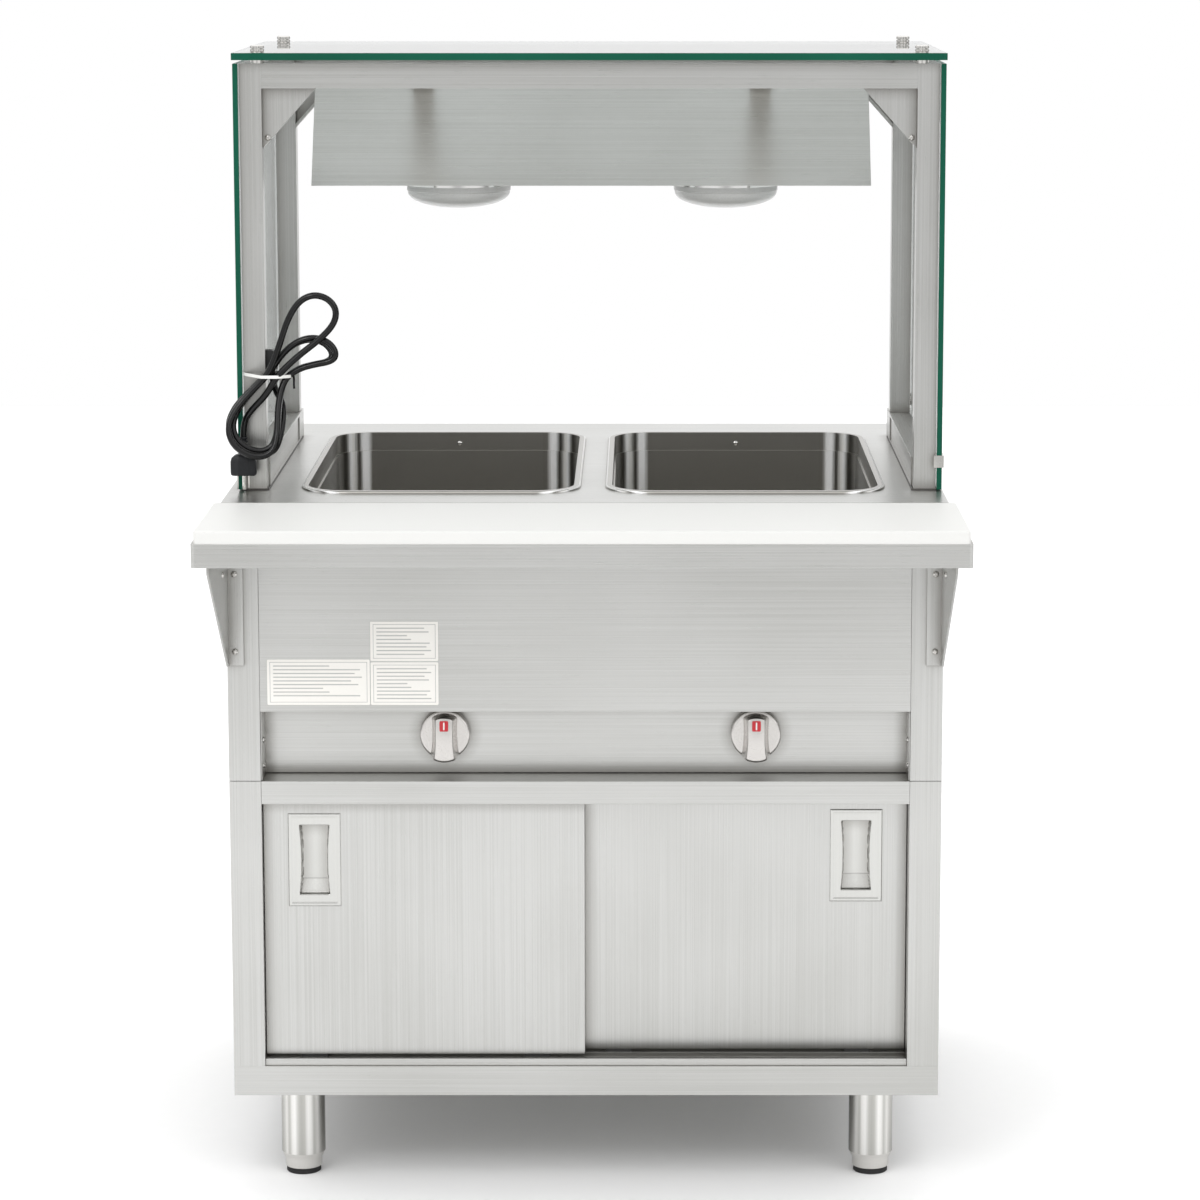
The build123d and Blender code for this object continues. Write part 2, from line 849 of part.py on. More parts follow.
def shelf_brackets():
    """Two triangular brackets, each folded from one sheet with a post flange and a top flange."""
    low = tray_bottom - bracket_drop
    outline = [
        (0, low),
        (0, tray_bottom),
        (-bracket_reach, tray_bottom),
        (-bracket_reach, tray_bottom - bracket_nose),
        (-bracket_flange / 2, low),
    ]
    plate = side_prism(outline, -half_body, -half_body + bracket_sheet)
    edge = -half_body + bracket_flange
    post_flange = block(-half_body, edge, -bracket_sheet, 0, low, tray_bottom)
    top_flange = block(-half_body, edge, -bracket_reach, 0, tray_bottom - bracket_sheet, tray_bottom)
    bracket = plate + post_flange + top_flange
    return [bracket, mirrored(bracket)]


def screw_heads():
    """Heads of the screws in the brackets, the control panel and the guard gussets."""
    heads = []
    flange_x = half_body - bracket_flange / 2
    face = -bracket_sheet
    for side in (-1, 1):
        for drop in bracket_screw_drops:
            z = tray_bottom - drop
            heads.append(along_y(side * flange_x, z, face - screw_head_height, face, screw_head_radius))
        inner = half_body - bracket_sheet
        z = tray_bottom - bracket_side_screw_drop
        heads.append(screw_across(side, inner, -bracket_side_screw_reach, z))
        for rise in panel_screw_rises:
            height = upper_bottom + rise
            heads.append(screw_across(side, opening_half - sheet, panel_screw_set_back, height))
    front, rear = gusset_plane(False), gusset_plane(True)
    z = guard_rail_bottom - gusset_height + gusset_screw_rise
    for side in (-1, 1):
        x = guard_middle_x + side * (guard_inner - gusset_screw_inset)
        heads.append(along_y(x, z, front - screw_head_height, front, screw_head_radius))
        heads.append(along_y(x, z, rear, rear + screw_head_height, screw_head_radius))
    return heads


def screw_across(side, wall, t, z):
    """Head on the inner face of a side wall, side -1 for the left one."""
    x0 = min(side * wall, side * (wall - screw_head_height))
    return along_x(t, z, x0, x0 + screw_head_height, screw_head_radius)


# Glass guard

def gusset_plane(rear):
    """Set-back of the outer face of a front or rear gusset."""
    if rear:
        return guard_rear + guard_tube - gusset_setback
    return guard_front + gusset_setback


def guard_posts():
    """Four square posts; the rear pair stands on the base rails."""
    posts = []
    for side in (-1, 1):
        outer = guard_middle_x + side * guard_half_width
        x0 = min(outer, outer - side * guard_tube)
        x1 = x0 + guard_tube
        for t, low in ((guard_front, worktop_height), (guard_rear, worktop_height + base_rail_height)):
            post = box_tube(x0, x1, t, t + guard_tube, low, guard_top, guard_wall, cap=guard_wall)
            posts.append(post)
    return posts


def guard_top_rails():
    """Front, rear and two side rails between the posts."""
    low, high = guard_rail_bottom, guard_top
    left, right = guard_middle_x - guard_inner, guard_middle_x + guard_inner
    inner_low, inner_high = low + guard_wall, high - guard_wall
    rails = []
    for t in (guard_front, guard_rear):
        rail = block(left, right, t, t + guard_tube, low, high)
        t0, t1 = t + guard_wall, t + guard_tube - guard_wall
        rails.append(rail - block(left - 1, right + 1, t0, t1, inner_low, inner_high))
    front, rear = guard_front + guard_tube, guard_rear
    for x in (left - guard_tube, right):
        rail = block(x, x + guard_tube, front, rear, low, high)
        x0, x1 = x + guard_wall, x + guard_tube - guard_wall
        rails.append(rail - block(x0, x1, front - 1, rear + 1, inner_low, inner_high))
    return rails


def guard_base_rails():
    """Rail along each side of the worktop, behind the front post and under the rear one."""
    low, high = worktop_height, worktop_height + base_rail_height
    front = guard_front + guard_tube
    rear = guard_rear + guard_tube + base_rail_end
    rails = []
    for side in (-1, 1):
        outer = guard_middle_x + side * guard_half_width
        inner = guard_middle_x + side * (guard_inner - base_rail_proud)
        x0, x1 = min(outer, inner), max(outer, inner)
        rail = block(x0, x1, front, rear, low, high)
        sunk = inner + side * base_rail_recess
        rail -= block(
            min(inner, sunk), max(inner, sunk), front + base_rail_seam, guard_rear - base_rail_seam,
            low + base_rail_rim, high - base_rail_rim,
        )
        hollow = guard_wall + base_rail_recess
        rail -= block(x0 + hollow, x1 - hollow, front + hollow, rear - hollow, low - 1, high - hollow)
        rails.append(rail)
    return rails


def guard_gussets():
    """Folded corner plates between posts and front or rear rail."""
    plates = []
    for side in (-1, 1):
        corner = guard_middle_x + side * guard_inner
        outline = [
            (corner, guard_rail_bottom),
            (corner - side * gusset_width, guard_rail_bottom),
            (corner, guard_rail_bottom - gusset_height),
        ]
        fold = 2 * gusset_sheet
        hollow = [
            (corner, guard_rail_bottom),
            (corner - side * (gusset_width - fold), guard_rail_bottom),
            (corner, guard_rail_bottom - gusset_height + fold),
        ]
        face = gusset_plane(False)
        front = front_prism(outline, face, face + gusset_flange)
        front -= front_prism(hollow, face + gusset_sheet, face + gusset_flange + 1)
        face = gusset_plane(True)
        rear = front_prism(outline, face - gusset_flange, face)
        rear -= front_prism(hollow, face - gusset_flange - 1, face - gusset_sheet)
        plates += [front, rear]
    return plates


def standoff_places():
    """Set-back and height of the three standoffs on each side glass."""
    post = guard_front + guard_tube / 2
    rear_post = guard_rear + guard_tube / 2
    return [
        (post, standoff_height),
        (rear_post, worktop_height + base_rail_height + rear_standoff_rise),
        (guard_middle, guard_rail_bottom + guard_rail_height / 2),
    ]


def side_glass(side):
    """Side pane with its standoff holes."""
    inner = guard_middle_x + side * (guard_half_width + side_glass_gap)
    outer = inner + side * side_glass_thickness
    x0, x1 = min(inner, outer), max(inner, outer)
    pane = block(x0, x1, side_glass_front, side_glass_rear, side_glass_bottom, guard_top)
    pane = chamfer(pane.edges().filter_by(Axis.Z), 0.6)
    for t, z in standoff_places():
        pane -= along_x(t, z, x0 - 1, x1 + 1, standoff_shank + glass_hole_gap)
    return pane


def pin_places():
    """Middle of the four pins of the top glass."""
    x = guard_half_width - pin_inset
    front = guard_front + guard_tube / 2
    return [(guard_middle_x + side * x, t) for side in (-1, 1) for t in (front, rear_pin)]


def top_glass():
    """Top pane with its pin holes."""
    half = guard_half_width + top_glass_side
    low, high = top_glass_bottom, top_glass_bottom + top_glass_thickness
    x0, x1 = guard_middle_x - half, guard_middle_x + half
    pane = block(x0, x1, top_glass_front, top_glass_front + top_glass_depth, low, high)
    pane = fillet(pane.edges().filter_by(Axis.Z), 5.0)
    pane = chamfer(pane.faces().sort_by(Axis.Z)[-1].edges(), 0.6)
    for x, t in pin_places():
        pane -= upright(x, t, low - 1, high + 1, pin_shank + glass_hole_gap)
    return pane


def edge_clamp(side, post, pane, outside):
    """Clamp that wraps the front edge of a side pane and laps onto the post."""
    reach = outside + side * clamp_wall
    lap = post - side * clamp_lap
    low, high = standoff_height - clamp_height / 2, standoff_height + clamp_height / 2
    end = guard_front + clamp_depth
    nose = block(min(lap, reach), max(lap, reach), side_glass_front - clamp_wall, guard_front, low, high)
    cheeks = block(min(post, reach), max(post, reach), guard_front, end, low, high)
    slot = block(min(pane, outside), max(pane, outside), side_glass_front, end + 1, low - 1, high + 1)
    return nose + cheeks - slot


def glass_fixings():
    """Standoffs and front clamps of the side panes and pins of the top pane."""
    fixings = []
    for side in (-1, 1):
        post = guard_middle_x + side * guard_half_width
        pane = post + side * side_glass_gap
        outside = pane + side * side_glass_thickness
        for t, z in standoff_places():
            spacer = along_x(t, z, min(post, pane), max(post, pane), standoff_radius)
            shank = along_x(t, z, min(post, outside), max(post, outside), standoff_shank)
            end = outside + side * standoff_head
            head = along_x(t, z, min(outside, end), max(outside, end), standoff_radius)
            fixing = spacer + shank + head
            if z == standoff_height:
                fixing += edge_clamp(side, post, pane, outside)
            fixings.append(fixing)
    top = top_glass_bottom + top_glass_thickness
    for x, t in pin_places():
        head = upright(x, t, top, top + pin_head, pin_radius)
        head = chamfer(head.faces().sort_by(Axis.Z)[-1].edges(), 1.0)
        shank = upright(x, t, guard_top, top, pin_shank)
        spacer = upright(x, t, guard_top, top_glass_bottom, pin_radius)
        fixings.append(head + shank + spacer)
    return fixings


# Heat lamps

def lamp_housing():
    """Long hood with leaning front and back, closed ends and an open foot with small lips."""
    left = guard_middle_x - housing_width / 2
    right = left + housing_width
    front = guard_middle - housing_depth / 2
    back = guard_middle + housing_depth / 2
    skin = sheet * math.hypot(1, housing_lean)

    def section(inset, low, high):
        rise_low = housing_lean * (low - housing_bottom)
        rise_high = housing_lean * (high - housing_bottom)
        return [
            (front + rise_low + inset, low),
            (back - rise_low - inset, low),
            (back - rise_high - inset, high),
            (front + rise_high + inset, high),
        ]

    outer = section(0, housing_bottom, housing_top)
    inner = section(skin, housing_bottom + sheet, housing_top - sheet)
    hood = side_prism(outer, left, right) - side_prism(inner, left + sheet, right - sheet)
    lip = housing_lip
    foot_low, foot_high = housing_bottom - 1, housing_bottom + 2 * sheet
    return hood - block(left + lip, right - lip, front + lip, back - lip, foot_low, foot_high)


def lamp_hangers():
    """Flat bars between front and rear rails; the hood hangs under them."""
    bars = []
    front, rear = guard_front + guard_tube, guard_rear
    for side in (-1, 1):
        x = guard_middle_x + side * hanger_spacing / 2
        half = hanger_width / 2
        bars.append(block(x - half, x + half, front, rear, housing_top, housing_top + hanger_thickness))
    return bars


def lamp_places():
    """X of the two lamps."""
    return [guard_middle_x + side * lamp_pitch / 2 for side in (-1, 1)]


def lamp_sockets():
    """Two screw sockets under the hood's roof."""
    top = housing_top - sheet
    low = top - socket_length
    sockets = []
    for x in lamp_places():
        socket = upright(x, guard_middle, low, top, socket_radius)
        cap_top = lamp_bottom + lamp_neck_height + lamp_cap_length
        socket -= upright(x, guard_middle, low - 1, cap_top + socket_gap, lamp_cap_radius + socket_gap)
        sockets.append(socket)
    return sockets


def heat_lamps():
    """Two reflector lamps: flat dome, silvered band, cone, neck and screw cap."""
    lamps = []
    for x in lamp_places():
        low = lamp_bottom
        band_low = low + lamp_dome
        band_high = band_low + lamp_band
        shoulder = band_high + lamp_shoulder
        neck = low + lamp_neck_height
        top = neck + lamp_cap_length
        y = behind(guard_middle)

        def at(radius, z):
            return (x + radius, y, z)

        shallow = at(lamp_radius * 0.72, low + lamp_dome * 0.3)
        dome = ThreePointArc(at(0, low), shallow, at(lamp_radius, band_low))
        edges = [
            dome,
            Line(at(lamp_radius, band_low), at(lamp_radius, band_high)),
            Line(at(lamp_radius, band_high), at(lamp_neck_radius + 16, shoulder)),
            Line(at(lamp_neck_radius + 16, shoulder), at(lamp_neck_radius, neck)),
            Line(at(lamp_neck_radius, neck), at(lamp_cap_radius, neck)),
            Line(at(lamp_cap_radius, neck), at(lamp_cap_radius, top)),
            Line(at(lamp_cap_radius, top), at(0, top)),
            Line(at(0, top), at(0, low)),
        ]
        face = make_face(Wire(edges))
        lamps.append(revolve(face, axis=Axis((x, y, 0), (0, 0, 1))))
    return lamps


# Lamp cord

def smooth(value):
    """Smooth step from 0 to 1."""
    value = min(max(value, 0.0), 1.0)
    return value * value * (3 - 2 * value)


def hank_point(turn):
    """Point of the hank's centre line; each whole number is a crossing of the waist.

    Even spans are loops that hang down, odd spans are loops that stand up.
    """
    index = min(int(turn), 2 * len(lower_lobes) - 1)
    angle = math.pi * (turn - index)
    pair = index // 2
    half = strand_pitch
    if index % 2 == 0:
        length, width = lower_lobes[pair]
        tilt, sign = lower_tilt, -1
    else:
        length, width, tilt = upper_lobes[pair]
        sign = 1
        if pair == len(upper_lobes) - 1:
            half *= 1 - smooth(angle / math.pi)
    spread = half + width * math.sin(angle) ** lobe_power
    across = -sign * math.cos(angle) * spread
    along = length * math.sin(angle)
    lean = math.radians(waist_tilt + (tilt - waist_tilt) * math.sin(angle))
    x = waist_x + sign * along * math.sin(lean) + across * math.cos(lean)
    z = waist_height + sign * along * math.cos(lean) - across * math.sin(lean)
    layer = pair + 1
    if index % 2 == 0 and angle < math.pi / 2:
        layer = pair + smooth(along / climb_length)
    t = waist_set_back - layer * layer_pitch - forward_lean(waist_height - z)
    return Vector(x, behind(t), z)


def forward_lean(depth):
    """How far the hank leans forward at this depth under its waist, or above it if negative."""
    mean = (lower_slope - upper_slope) / 2
    bend = (lower_slope + upper_slope) / 2
    return mean * depth + bend * (math.hypot(depth, slope_blend) - slope_blend)


def hank_direction(turn):
    """Direction of the hank's centre line."""
    step = 0.02
    last = 2 * len(lower_lobes)
    before, after = max(turn - step, hank_start), min(turn + step, last)
    return (hank_point(after) - hank_point(before)).normalized()


def relief_top():
    """Where the cord enters the plug's strain relief."""
    return Vector(plug_x, behind(plug_set_back), plug_bottom + plug_height + relief_height)


def biarc(start, start_direction, end, end_direction):
    """Two tangent arcs between two points with given directions."""
    chord = end - start
    both = start_direction + end_direction
    away = 2 * (1 - start_direction.dot(end_direction))
    reach = chord.dot(both)
    square = chord.dot(chord)
    if away < 1e-6:
        handle = square / (4 * chord.dot(end_direction))
    else:
        handle = (-reach + math.sqrt(reach * reach + away * square)) / away
    joint = (start + end + (start_direction - end_direction) * handle) * 0.5
    first = TangentArc(start, joint, tangent=start_direction)
    second = TangentArc(joint, end, tangent=first % 1)
    return [first, second]


def hank_nodes():
    """Points and directions that the hank's arcs join, down to the plug."""
    steps = 2 * len(lower_lobes) * lobe_span_count
    turns = [step / lobe_span_count for step in range(1, steps + 1)]
    turns = [hank_start] + [turn for turn in turns if turn > hank_start]
    nodes = [(hank_point(turn), hank_direction(turn)) for turn in turns]
    nodes.append((relief_top(), Vector(0, 0, -1)))
    return nodes


def cord_hank():
    """The tied part of the cord, as one tube from the free stretch to the plug."""
    nodes = hank_nodes()
    edges = []
    direction = nodes[0][1]
    for (start, _), (end, end_direction) in zip(nodes, nodes[1:]):
        pair = biarc(start, direction, end, end_direction)
        edges += pair
        direction = (pair[1] % 1).normalized()
    path = Wire(edges)
    start, direction = nodes[0]
    tube = sweep(Plane(origin=start, z_dir=direction) * Circle(cord_radius), path=path)
    report_gap(edges, path)
    whole = path.length * math.pi * cord_radius**2
    print("hank length", round(path.length, 1), "volume share", round(tube.volume / whole, 4))
    return tube


def report_gap(edges, path):
    """Print the least gap of the hank to itself, measured on points."""
    points = []
    run = 0.0
    for edge in edges:
        count = max(2, int(edge.length / 1.5))
        for step in range(count):
            points.append((run + edge.length * step / count, edge @ (step / count)))
        run += edge.length
    least = (path.length, 0, 0)
    for index, (here, point) in enumerate(points):
        for there, other in points[index + 1:]:
            if there - here > 3 * cord_diameter:
                least = min(least, ((point - other).length, here, there))
    away, here, there = least
    gap = round(away - cord_diameter, 2)
    print("hank least gap to itself", gap, "at lengths", round(here), round(there))


def gland_mouth():
    """Where the free stretch leaves the gland, pointing down."""
    x = guard_middle_x - guard_inner + gland_reach / 2
    t = guard_front + guard_tube / 2
    return Vector(x, behind(t), gland_height - gland_length / 2)


def cord_gland():
    """Angled gland on the inner face of the front left post; the cord leaves it downwards."""
    mouth = gland_mouth()
    post = guard_middle_x - guard_inner
    half = gland_width / 2
    t = guard_front + guard_tube / 2
    low, high = gland_height - gland_length / 2, gland_height + gland_length / 2
    body = block(post, post + gland_reach, t - half, t + half, low, high)
    corner = body.edges().filter_by(Axis.Y).sort_by(Axis.Z)[-2:].sort_by(Axis.X)[-1]
    body = fillet(corner, gland_reach * 0.6)
    print("cord leaves the gland at", mouth)
    return body


def lamp_cord():
    """Free stretch between the gland and the tied hank."""
    start = gland_mouth()
    end, direction = hank_nodes()[0]
    route = [Vector(x, behind(t), z) for x, t, z in free_route]
    points = [start, *route, end - direction * free_end_run, end]
    radii = []
    for before, here, after in zip(points, points[1:], points[2:]):
        first, second = here - before, after - here
        turn = math.radians(first.get_angle(second))
        radii.append(0.45 * min(first.length, second.length) / math.tan(turn / 2))
    path = FilletPolyline(*points, radius=radii)
    tube = sweep(Plane(origin=start, z_dir=(0, 0, -1)) * Circle(cord_radius), path=path)
    print("free stretch", round(path.length, 1), "radii", [round(radius, 1) for radius in radii])
    return tube


def plug():
    """Moulded plug with a ribbed strain relief, two blades and a ground pin."""
    x, t = plug_x, plug_set_back
    half, thick = plug_width / 2, plug_thickness / 2
    low, high = plug_bottom, plug_bottom + plug_height
    body = block(x - half, x + half, t - thick, t + thick, low, high)
    body = fillet(body.edges().filter_by(Axis.Z), 6.0)
    body = chamfer(body.faces().sort_by(Axis.Z)[-1].edges(), 4.0)
    top = high + relief_height
    base, end = relief_base_radius, relief_top_radius
    seat = Pos(x, behind(t), high)
    body += seat * Cone(base - 1, end - 1, relief_height, align=(Align.CENTER, Align.CENTER, Align.MIN))
    spacing = relief_height / relief_rib_count
    for count in range(relief_rib_count):
        radius = base + (end - base) * count / (relief_rib_count - 1)
        z = high + spacing * count + spacing * 0.25
        body += upright(x, t, z, z + spacing * 0.5, radius)
    for side in (-1, 1):
        blade_x = x + side * blade_spacing / 2
        body += block(
            blade_x - blade_thickness / 2, blade_x + blade_thickness / 2,
            t - ground_offset / 2 - blade_width / 2, t - ground_offset / 2 + blade_width / 2,
            low - blade_length, low,
        )
    body += upright(x, t + ground_offset / 2, low - ground_length, low, ground_radius)
    return body


def cord_tie():
    """Flat tie round the guard post and the waist of the hank."""
    tilt = math.radians(waist_tilt)
    left = guard_middle_x - guard_half_width - tie_post_gap
    front, rear = guard_front - tie_gap, guard_front + guard_tube + tie_gap
    low = waist_height - tie_width / 2
    reach = (strand_pitch + cord_radius) / math.cos(tilt) + tie_width / 2 * math.tan(tilt) + tie_slack
    bundle_front = waist_set_back - len(upper_lobes) * layer_pitch - cord_radius - tie_gap
    corners = [
        (left, front),
        (waist_x - reach, bundle_front + tie_gap),
        (waist_x - reach + tie_gap, bundle_front),
        (waist_x + cord_radius, bundle_front),
        (waist_x + reach, bundle_front + layer_pitch),
        (waist_x + reach, waist_set_back + cord_radius),
        (guard_middle_x - guard_inner + tie_gap, rear),
        (left, rear),
    ]
    up = (0, 0, 1)
    inner = make_face(Polyline(*[(x, behind(t), low) for x, t in corners], close=True))
    outer = offset(inner, tie_thickness)
    return extrude(outer, amount=tie_width, dir=up) - extrude(inner, amount=tie_width, dir=up)


def parts():
    """Every node with its solid or group of solids."""
    made = {
        "leg_tubes": leg_tubes(),
        "leg_collars": leg_collars(),
        "base_channels": base_channels(),
        "bottom_shelf": bottom_shelf(),
        "lower_posts": corner_posts(apron_top, seam_height),
        "upper_posts": corner_posts(upper_bottom, worktop_under),
        "left_side_panels": side_panels(-1),
        "right_side_panels": side_panels(1),
        "back_panels": back_panels(),
        "middle_shelf": middle_shelf(),
        "control_panel": control_panel(),
        "front_panel": front_panel(),
        "door_tracks": door_tracks(),
        "countertop": countertop(),
        "left_well": well(-1),
        "right_well": well(1),
        "left_burner": burner(left_knob_x),
        "right_burner": burner(right_knob_x),
        "burner_supports": burner_supports(),
        "gas_manifold": gas_manifold(),
        "gas_valves": gas_valves(),
        "board_tray": board_tray(),
        "cutting_board": cutting_board(),
        "shelf_brackets": shelf_brackets(),
        "screw_heads": screw_heads(),
        "guard_posts": guard_posts(),
        "guard_top_rails": guard_top_rails(),
        "guard_base_rails": guard_base_rails(),
        "guard_gussets": guard_gussets(),
        "left_side_glass": side_glass(-1),
        "right_side_glass": side_glass(1),
        "top_glass": top_glass(),
        "glass_fixings": glass_fixings(),
        "lamp_housing": lamp_housing(),
        "lamp_hangers": lamp_hangers(),
        "lamp_sockets": lamp_sockets(),
        "heat_lamps": heat_lamps(),
        "cord_gland": cord_gland(),
        "lamp_cord": lamp_cord(),
        "cord_hank": cord_hank(),
        "plug": plug(),
        "cord_tie": cord_tie(),
    }
    for corner, (x, t) in leg_places().items():
        made["foot_" + corner] = foot(x, t)
        made["foot_pad_" + corner] = foot_pad(x, t)
    for name, x in (("left", left_knob_x), ("right", right_knob_x)):
        made[name + "_door"] = door(name)
        made[name + "_door_pull"] = door_pull(name)
        made[name + "_door_glides"] = door_glides(name)
        made[name + "_knob"] = knob(x)
        made[name + "_valve_stem"] = valve_stem(x)
    return made


def main():
    """Write each node to its own file."""
    os.makedirs("parts", exist_ok=True)
    for name, shape in parts().items():
        group = Compound(children=[*shape]) if isinstance(shape, list) else shape
        export_step(group, "parts/" + name + ".step")


main()
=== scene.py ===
import bmesh
import bpy
import math
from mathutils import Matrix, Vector


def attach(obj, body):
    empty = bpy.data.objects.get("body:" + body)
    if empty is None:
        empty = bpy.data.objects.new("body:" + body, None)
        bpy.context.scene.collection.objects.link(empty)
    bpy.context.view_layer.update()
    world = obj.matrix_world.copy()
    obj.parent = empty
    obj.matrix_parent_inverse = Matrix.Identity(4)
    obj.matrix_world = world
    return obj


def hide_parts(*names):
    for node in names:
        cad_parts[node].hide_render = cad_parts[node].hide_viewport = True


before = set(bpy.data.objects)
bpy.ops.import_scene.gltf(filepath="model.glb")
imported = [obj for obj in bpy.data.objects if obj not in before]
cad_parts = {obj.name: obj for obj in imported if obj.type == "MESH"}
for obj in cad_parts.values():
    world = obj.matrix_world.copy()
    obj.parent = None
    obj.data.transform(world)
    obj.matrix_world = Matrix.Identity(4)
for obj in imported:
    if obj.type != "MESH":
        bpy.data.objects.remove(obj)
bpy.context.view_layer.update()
print("frame loaded:", len(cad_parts), "nodes")

# Lengths are in mm, and a place is (x, set-back behind the cabinet's front, height),
# unless a comment says otherwise. The board reaches 213 mm before that front, and the
# worktop ends 690 mm behind it.
frontPlane = (0.213 - 0.690) / 2
mm = 0.001
guardMiddle = 5.0    # the glass guard stands this far right of the cabinet's middle


def place(x, setBack, height):
    return Vector((x * mm, frontPlane + setBack * mm, height * mm))


# Camera

cameraView = {
    "right": 65.0,      # of the cabinet's middle
    "before": 4376.4,   # of the cabinet's front
    "height": 1456.2,
    "pitch": 9.08,      # degrees down
    "lens": 117.78,     # on a sensor of 36
    "shiftX": -0.0354,
    "shiftY": -0.05,
}


def addObject(name, data):
    thing = bpy.data.objects.new(name, data)
    bpy.context.scene.collection.objects.link(thing)
    return thing


def makeCamera():
    data = bpy.data.cameras.new("viewCamera")
    data.sensor_width = 36
    data.lens = cameraView["lens"]
    data.shift_x = cameraView["shiftX"]
    data.shift_y = cameraView["shiftY"]
    camera = addObject("viewCamera", data)
    camera.location = place(cameraView["right"], -cameraView["before"], cameraView["height"])
    camera.rotation_euler = (math.radians(90 - cameraView["pitch"]), 0, 0)
    bpy.context.scene.camera = camera
    print("camera placed")


makeCamera()


# Node and mesh helpers

def toLinear(hexColour):
    channels = [int(hexColour[i:i + 2], 16) / 255 for i in (1, 3, 5)]
    linear = [c / 12.92 if c <= 0.04045 else ((c + 0.055) / 1.055) ** 2.4 for c in channels]
    return (*linear, 1.0)


def fillNode(tree, node, values, links):
    for socket, value in (values or {}).items():
        node.inputs[socket].default_value = value
    for socket, source in (links or {}).items():
        tree.links.new(source, node.inputs[socket])


def addNode(tree, kind, values=None, links=None, **settings):
    node = tree.nodes.new("ShaderNode" + kind)
    for key, value in settings.items():
        setattr(node, key, value)
    fillNode(tree, node, values, links)
    return node


def setStops(ramp, stops):
    elements = ramp.color_ramp.elements
    while len(elements) < len(stops):
        elements.new(0.5)
    for element, (spot, colour) in zip(elements, stops):
        element.position = spot
        element.color = colour


def startMaterial(name):
    material = bpy.data.materials.new(name)
    material.use_nodes = True
    tree = material.node_tree
    shader = tree.nodes["Principled BSDF"]
    coords = addNode(tree, "TexCoord")
    return material, tree, shader, coords.outputs


def finishPiece(bm, name, materials, replaced=None, sharpAngle=35, body="table"):
    # rides on its body and, where one is named, takes the place of a CAD node
    bmesh.ops.recalc_face_normals(bm, faces=bm.faces)
    mesh = bpy.data.meshes.new(name)
    bm.to_mesh(mesh)
    bm.free()
    for polygon in mesh.polygons:
        polygon.use_smooth = True
    mesh.set_sharp_from_angle(angle=math.radians(sharpAngle))
    for material in materials:
        mesh.materials.append(material)
    piece = addObject(name, mesh)
    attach(piece, body)
    if replaced:
        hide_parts(replaced)
    return piece


def layFaces(bm, rows, closed=True, slots=None):
    # faces between neighbouring rows of points; a row of one point is a tip
    for step, (low, high) in enumerate(zip(rows, rows[1:])):
        count = max(len(low), len(high))
        for spot in range(count if closed else count - 1):
            after = (spot + 1) % count
            if len(low) == 1:
                corners = [low[0], high[after], high[spot]]
            elif len(high) == 1:
                corners = [low[spot], low[after], high[0]]
            else:
                corners = [low[spot], low[after], high[after], high[spot]]
            face = bm.faces.new(corners)
            if slots:
                face.material_index = slots[step]


def joinRings(bm, rings, slot=0):
    layFaces(bm, rings, slots=[slot] * len(rings))
    for ring in (rings[0], rings[-1]):
        bm.faces.new(ring).material_index = slot


def circle(radius, count):
    angles = [2 * math.pi * step / count for step in range(count)]
    return [(radius * math.cos(angle), radius * math.sin(angle)) for angle in angles]


def tubeCurve(name, points, radius, material, **settings):
    # a round tube along smoothed points
    curve = bpy.data.curves.new(name, "CURVE")
    curve.dimensions = "3D"
    curve.bevel_depth = radius * mm
    curve.use_fill_caps = True
    for key, value in settings.items():
        setattr(curve, key, value)
    spline = curve.splines.new("NURBS")
    spline.points.add(len(points) - 1)
    for point, spot in zip(spline.points, points):
        point.co = (*place(*spot), 1.0)
    spline.order_u = 3
    spline.use_endpoint_u = True
    curve.materials.append(material)
    tube = addObject(name, curve)
    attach(tube, "table")
    return tube


def turnedRings(bm, profile, centre, axis, segments, slots=None, ripple=None):
    # profile is (radius, distance along axis); ripple(angle, step) scales a radius
    axis = Vector(axis).normalized()
    side = axis.orthogonal().normalized()
    other = axis.cross(side)
    rings = []
    for step, (radius, along) in enumerate(profile):
        middle = centre + axis * along * mm
        if radius < 1e-4:
            rings.append([bm.verts.new(middle)])
            continue
        ring = []
        for count in range(segments):
            angle = 2 * math.pi * count / segments
            reach = radius * mm * (ripple(angle, step) if ripple else 1.0)
            out = side * math.cos(angle) + other * math.sin(angle)
            ring.append(bm.verts.new(middle + out * reach))
        rings.append(ring)
    layFaces(bm, rings, slots=slots)


# Materials

stainlessLook = {
    "grainLength": 55.0,    # length of a polishing scratch
    "grainWidth": 0.45,     # about twice the real width, which is too fine to show here
    "laneLength": 420.0,    # length and width of the lanes that the belt leaves
    "laneWidth": 1.5,
    "patch": 300.0,         # slow change of tone across a sheet
    "edge": 0.9,            # radius of a folded edge
    "paintedCornerShade": 16.0,         # how far the painted shade of an inside corner reaches
    # colour of the painted shade in an inside corner
    "paintedCornerColour": "#969490",
    "glossSwing": 0.04,     # roughness gained or lost between scratches
    "depth": 0.2,           # depth of a scratch at full strength
}


def streaks(tree, coords, grain, length, width, **values):
    # noise that is drawn out along one axis
    scale = [1 / ((length if letter == grain else width) * mm) for letter in "xyz"]
    drawn = addNode(tree, "Mapping", {"Scale": scale}, {"Vector": coords["Object"]})
    values = {"Scale": 1.0, "Detail": 3.0, **values}
    return addNode(tree, "TexNoise", values, {"Vector": drawn.outputs[0]}).outputs["Fac"]


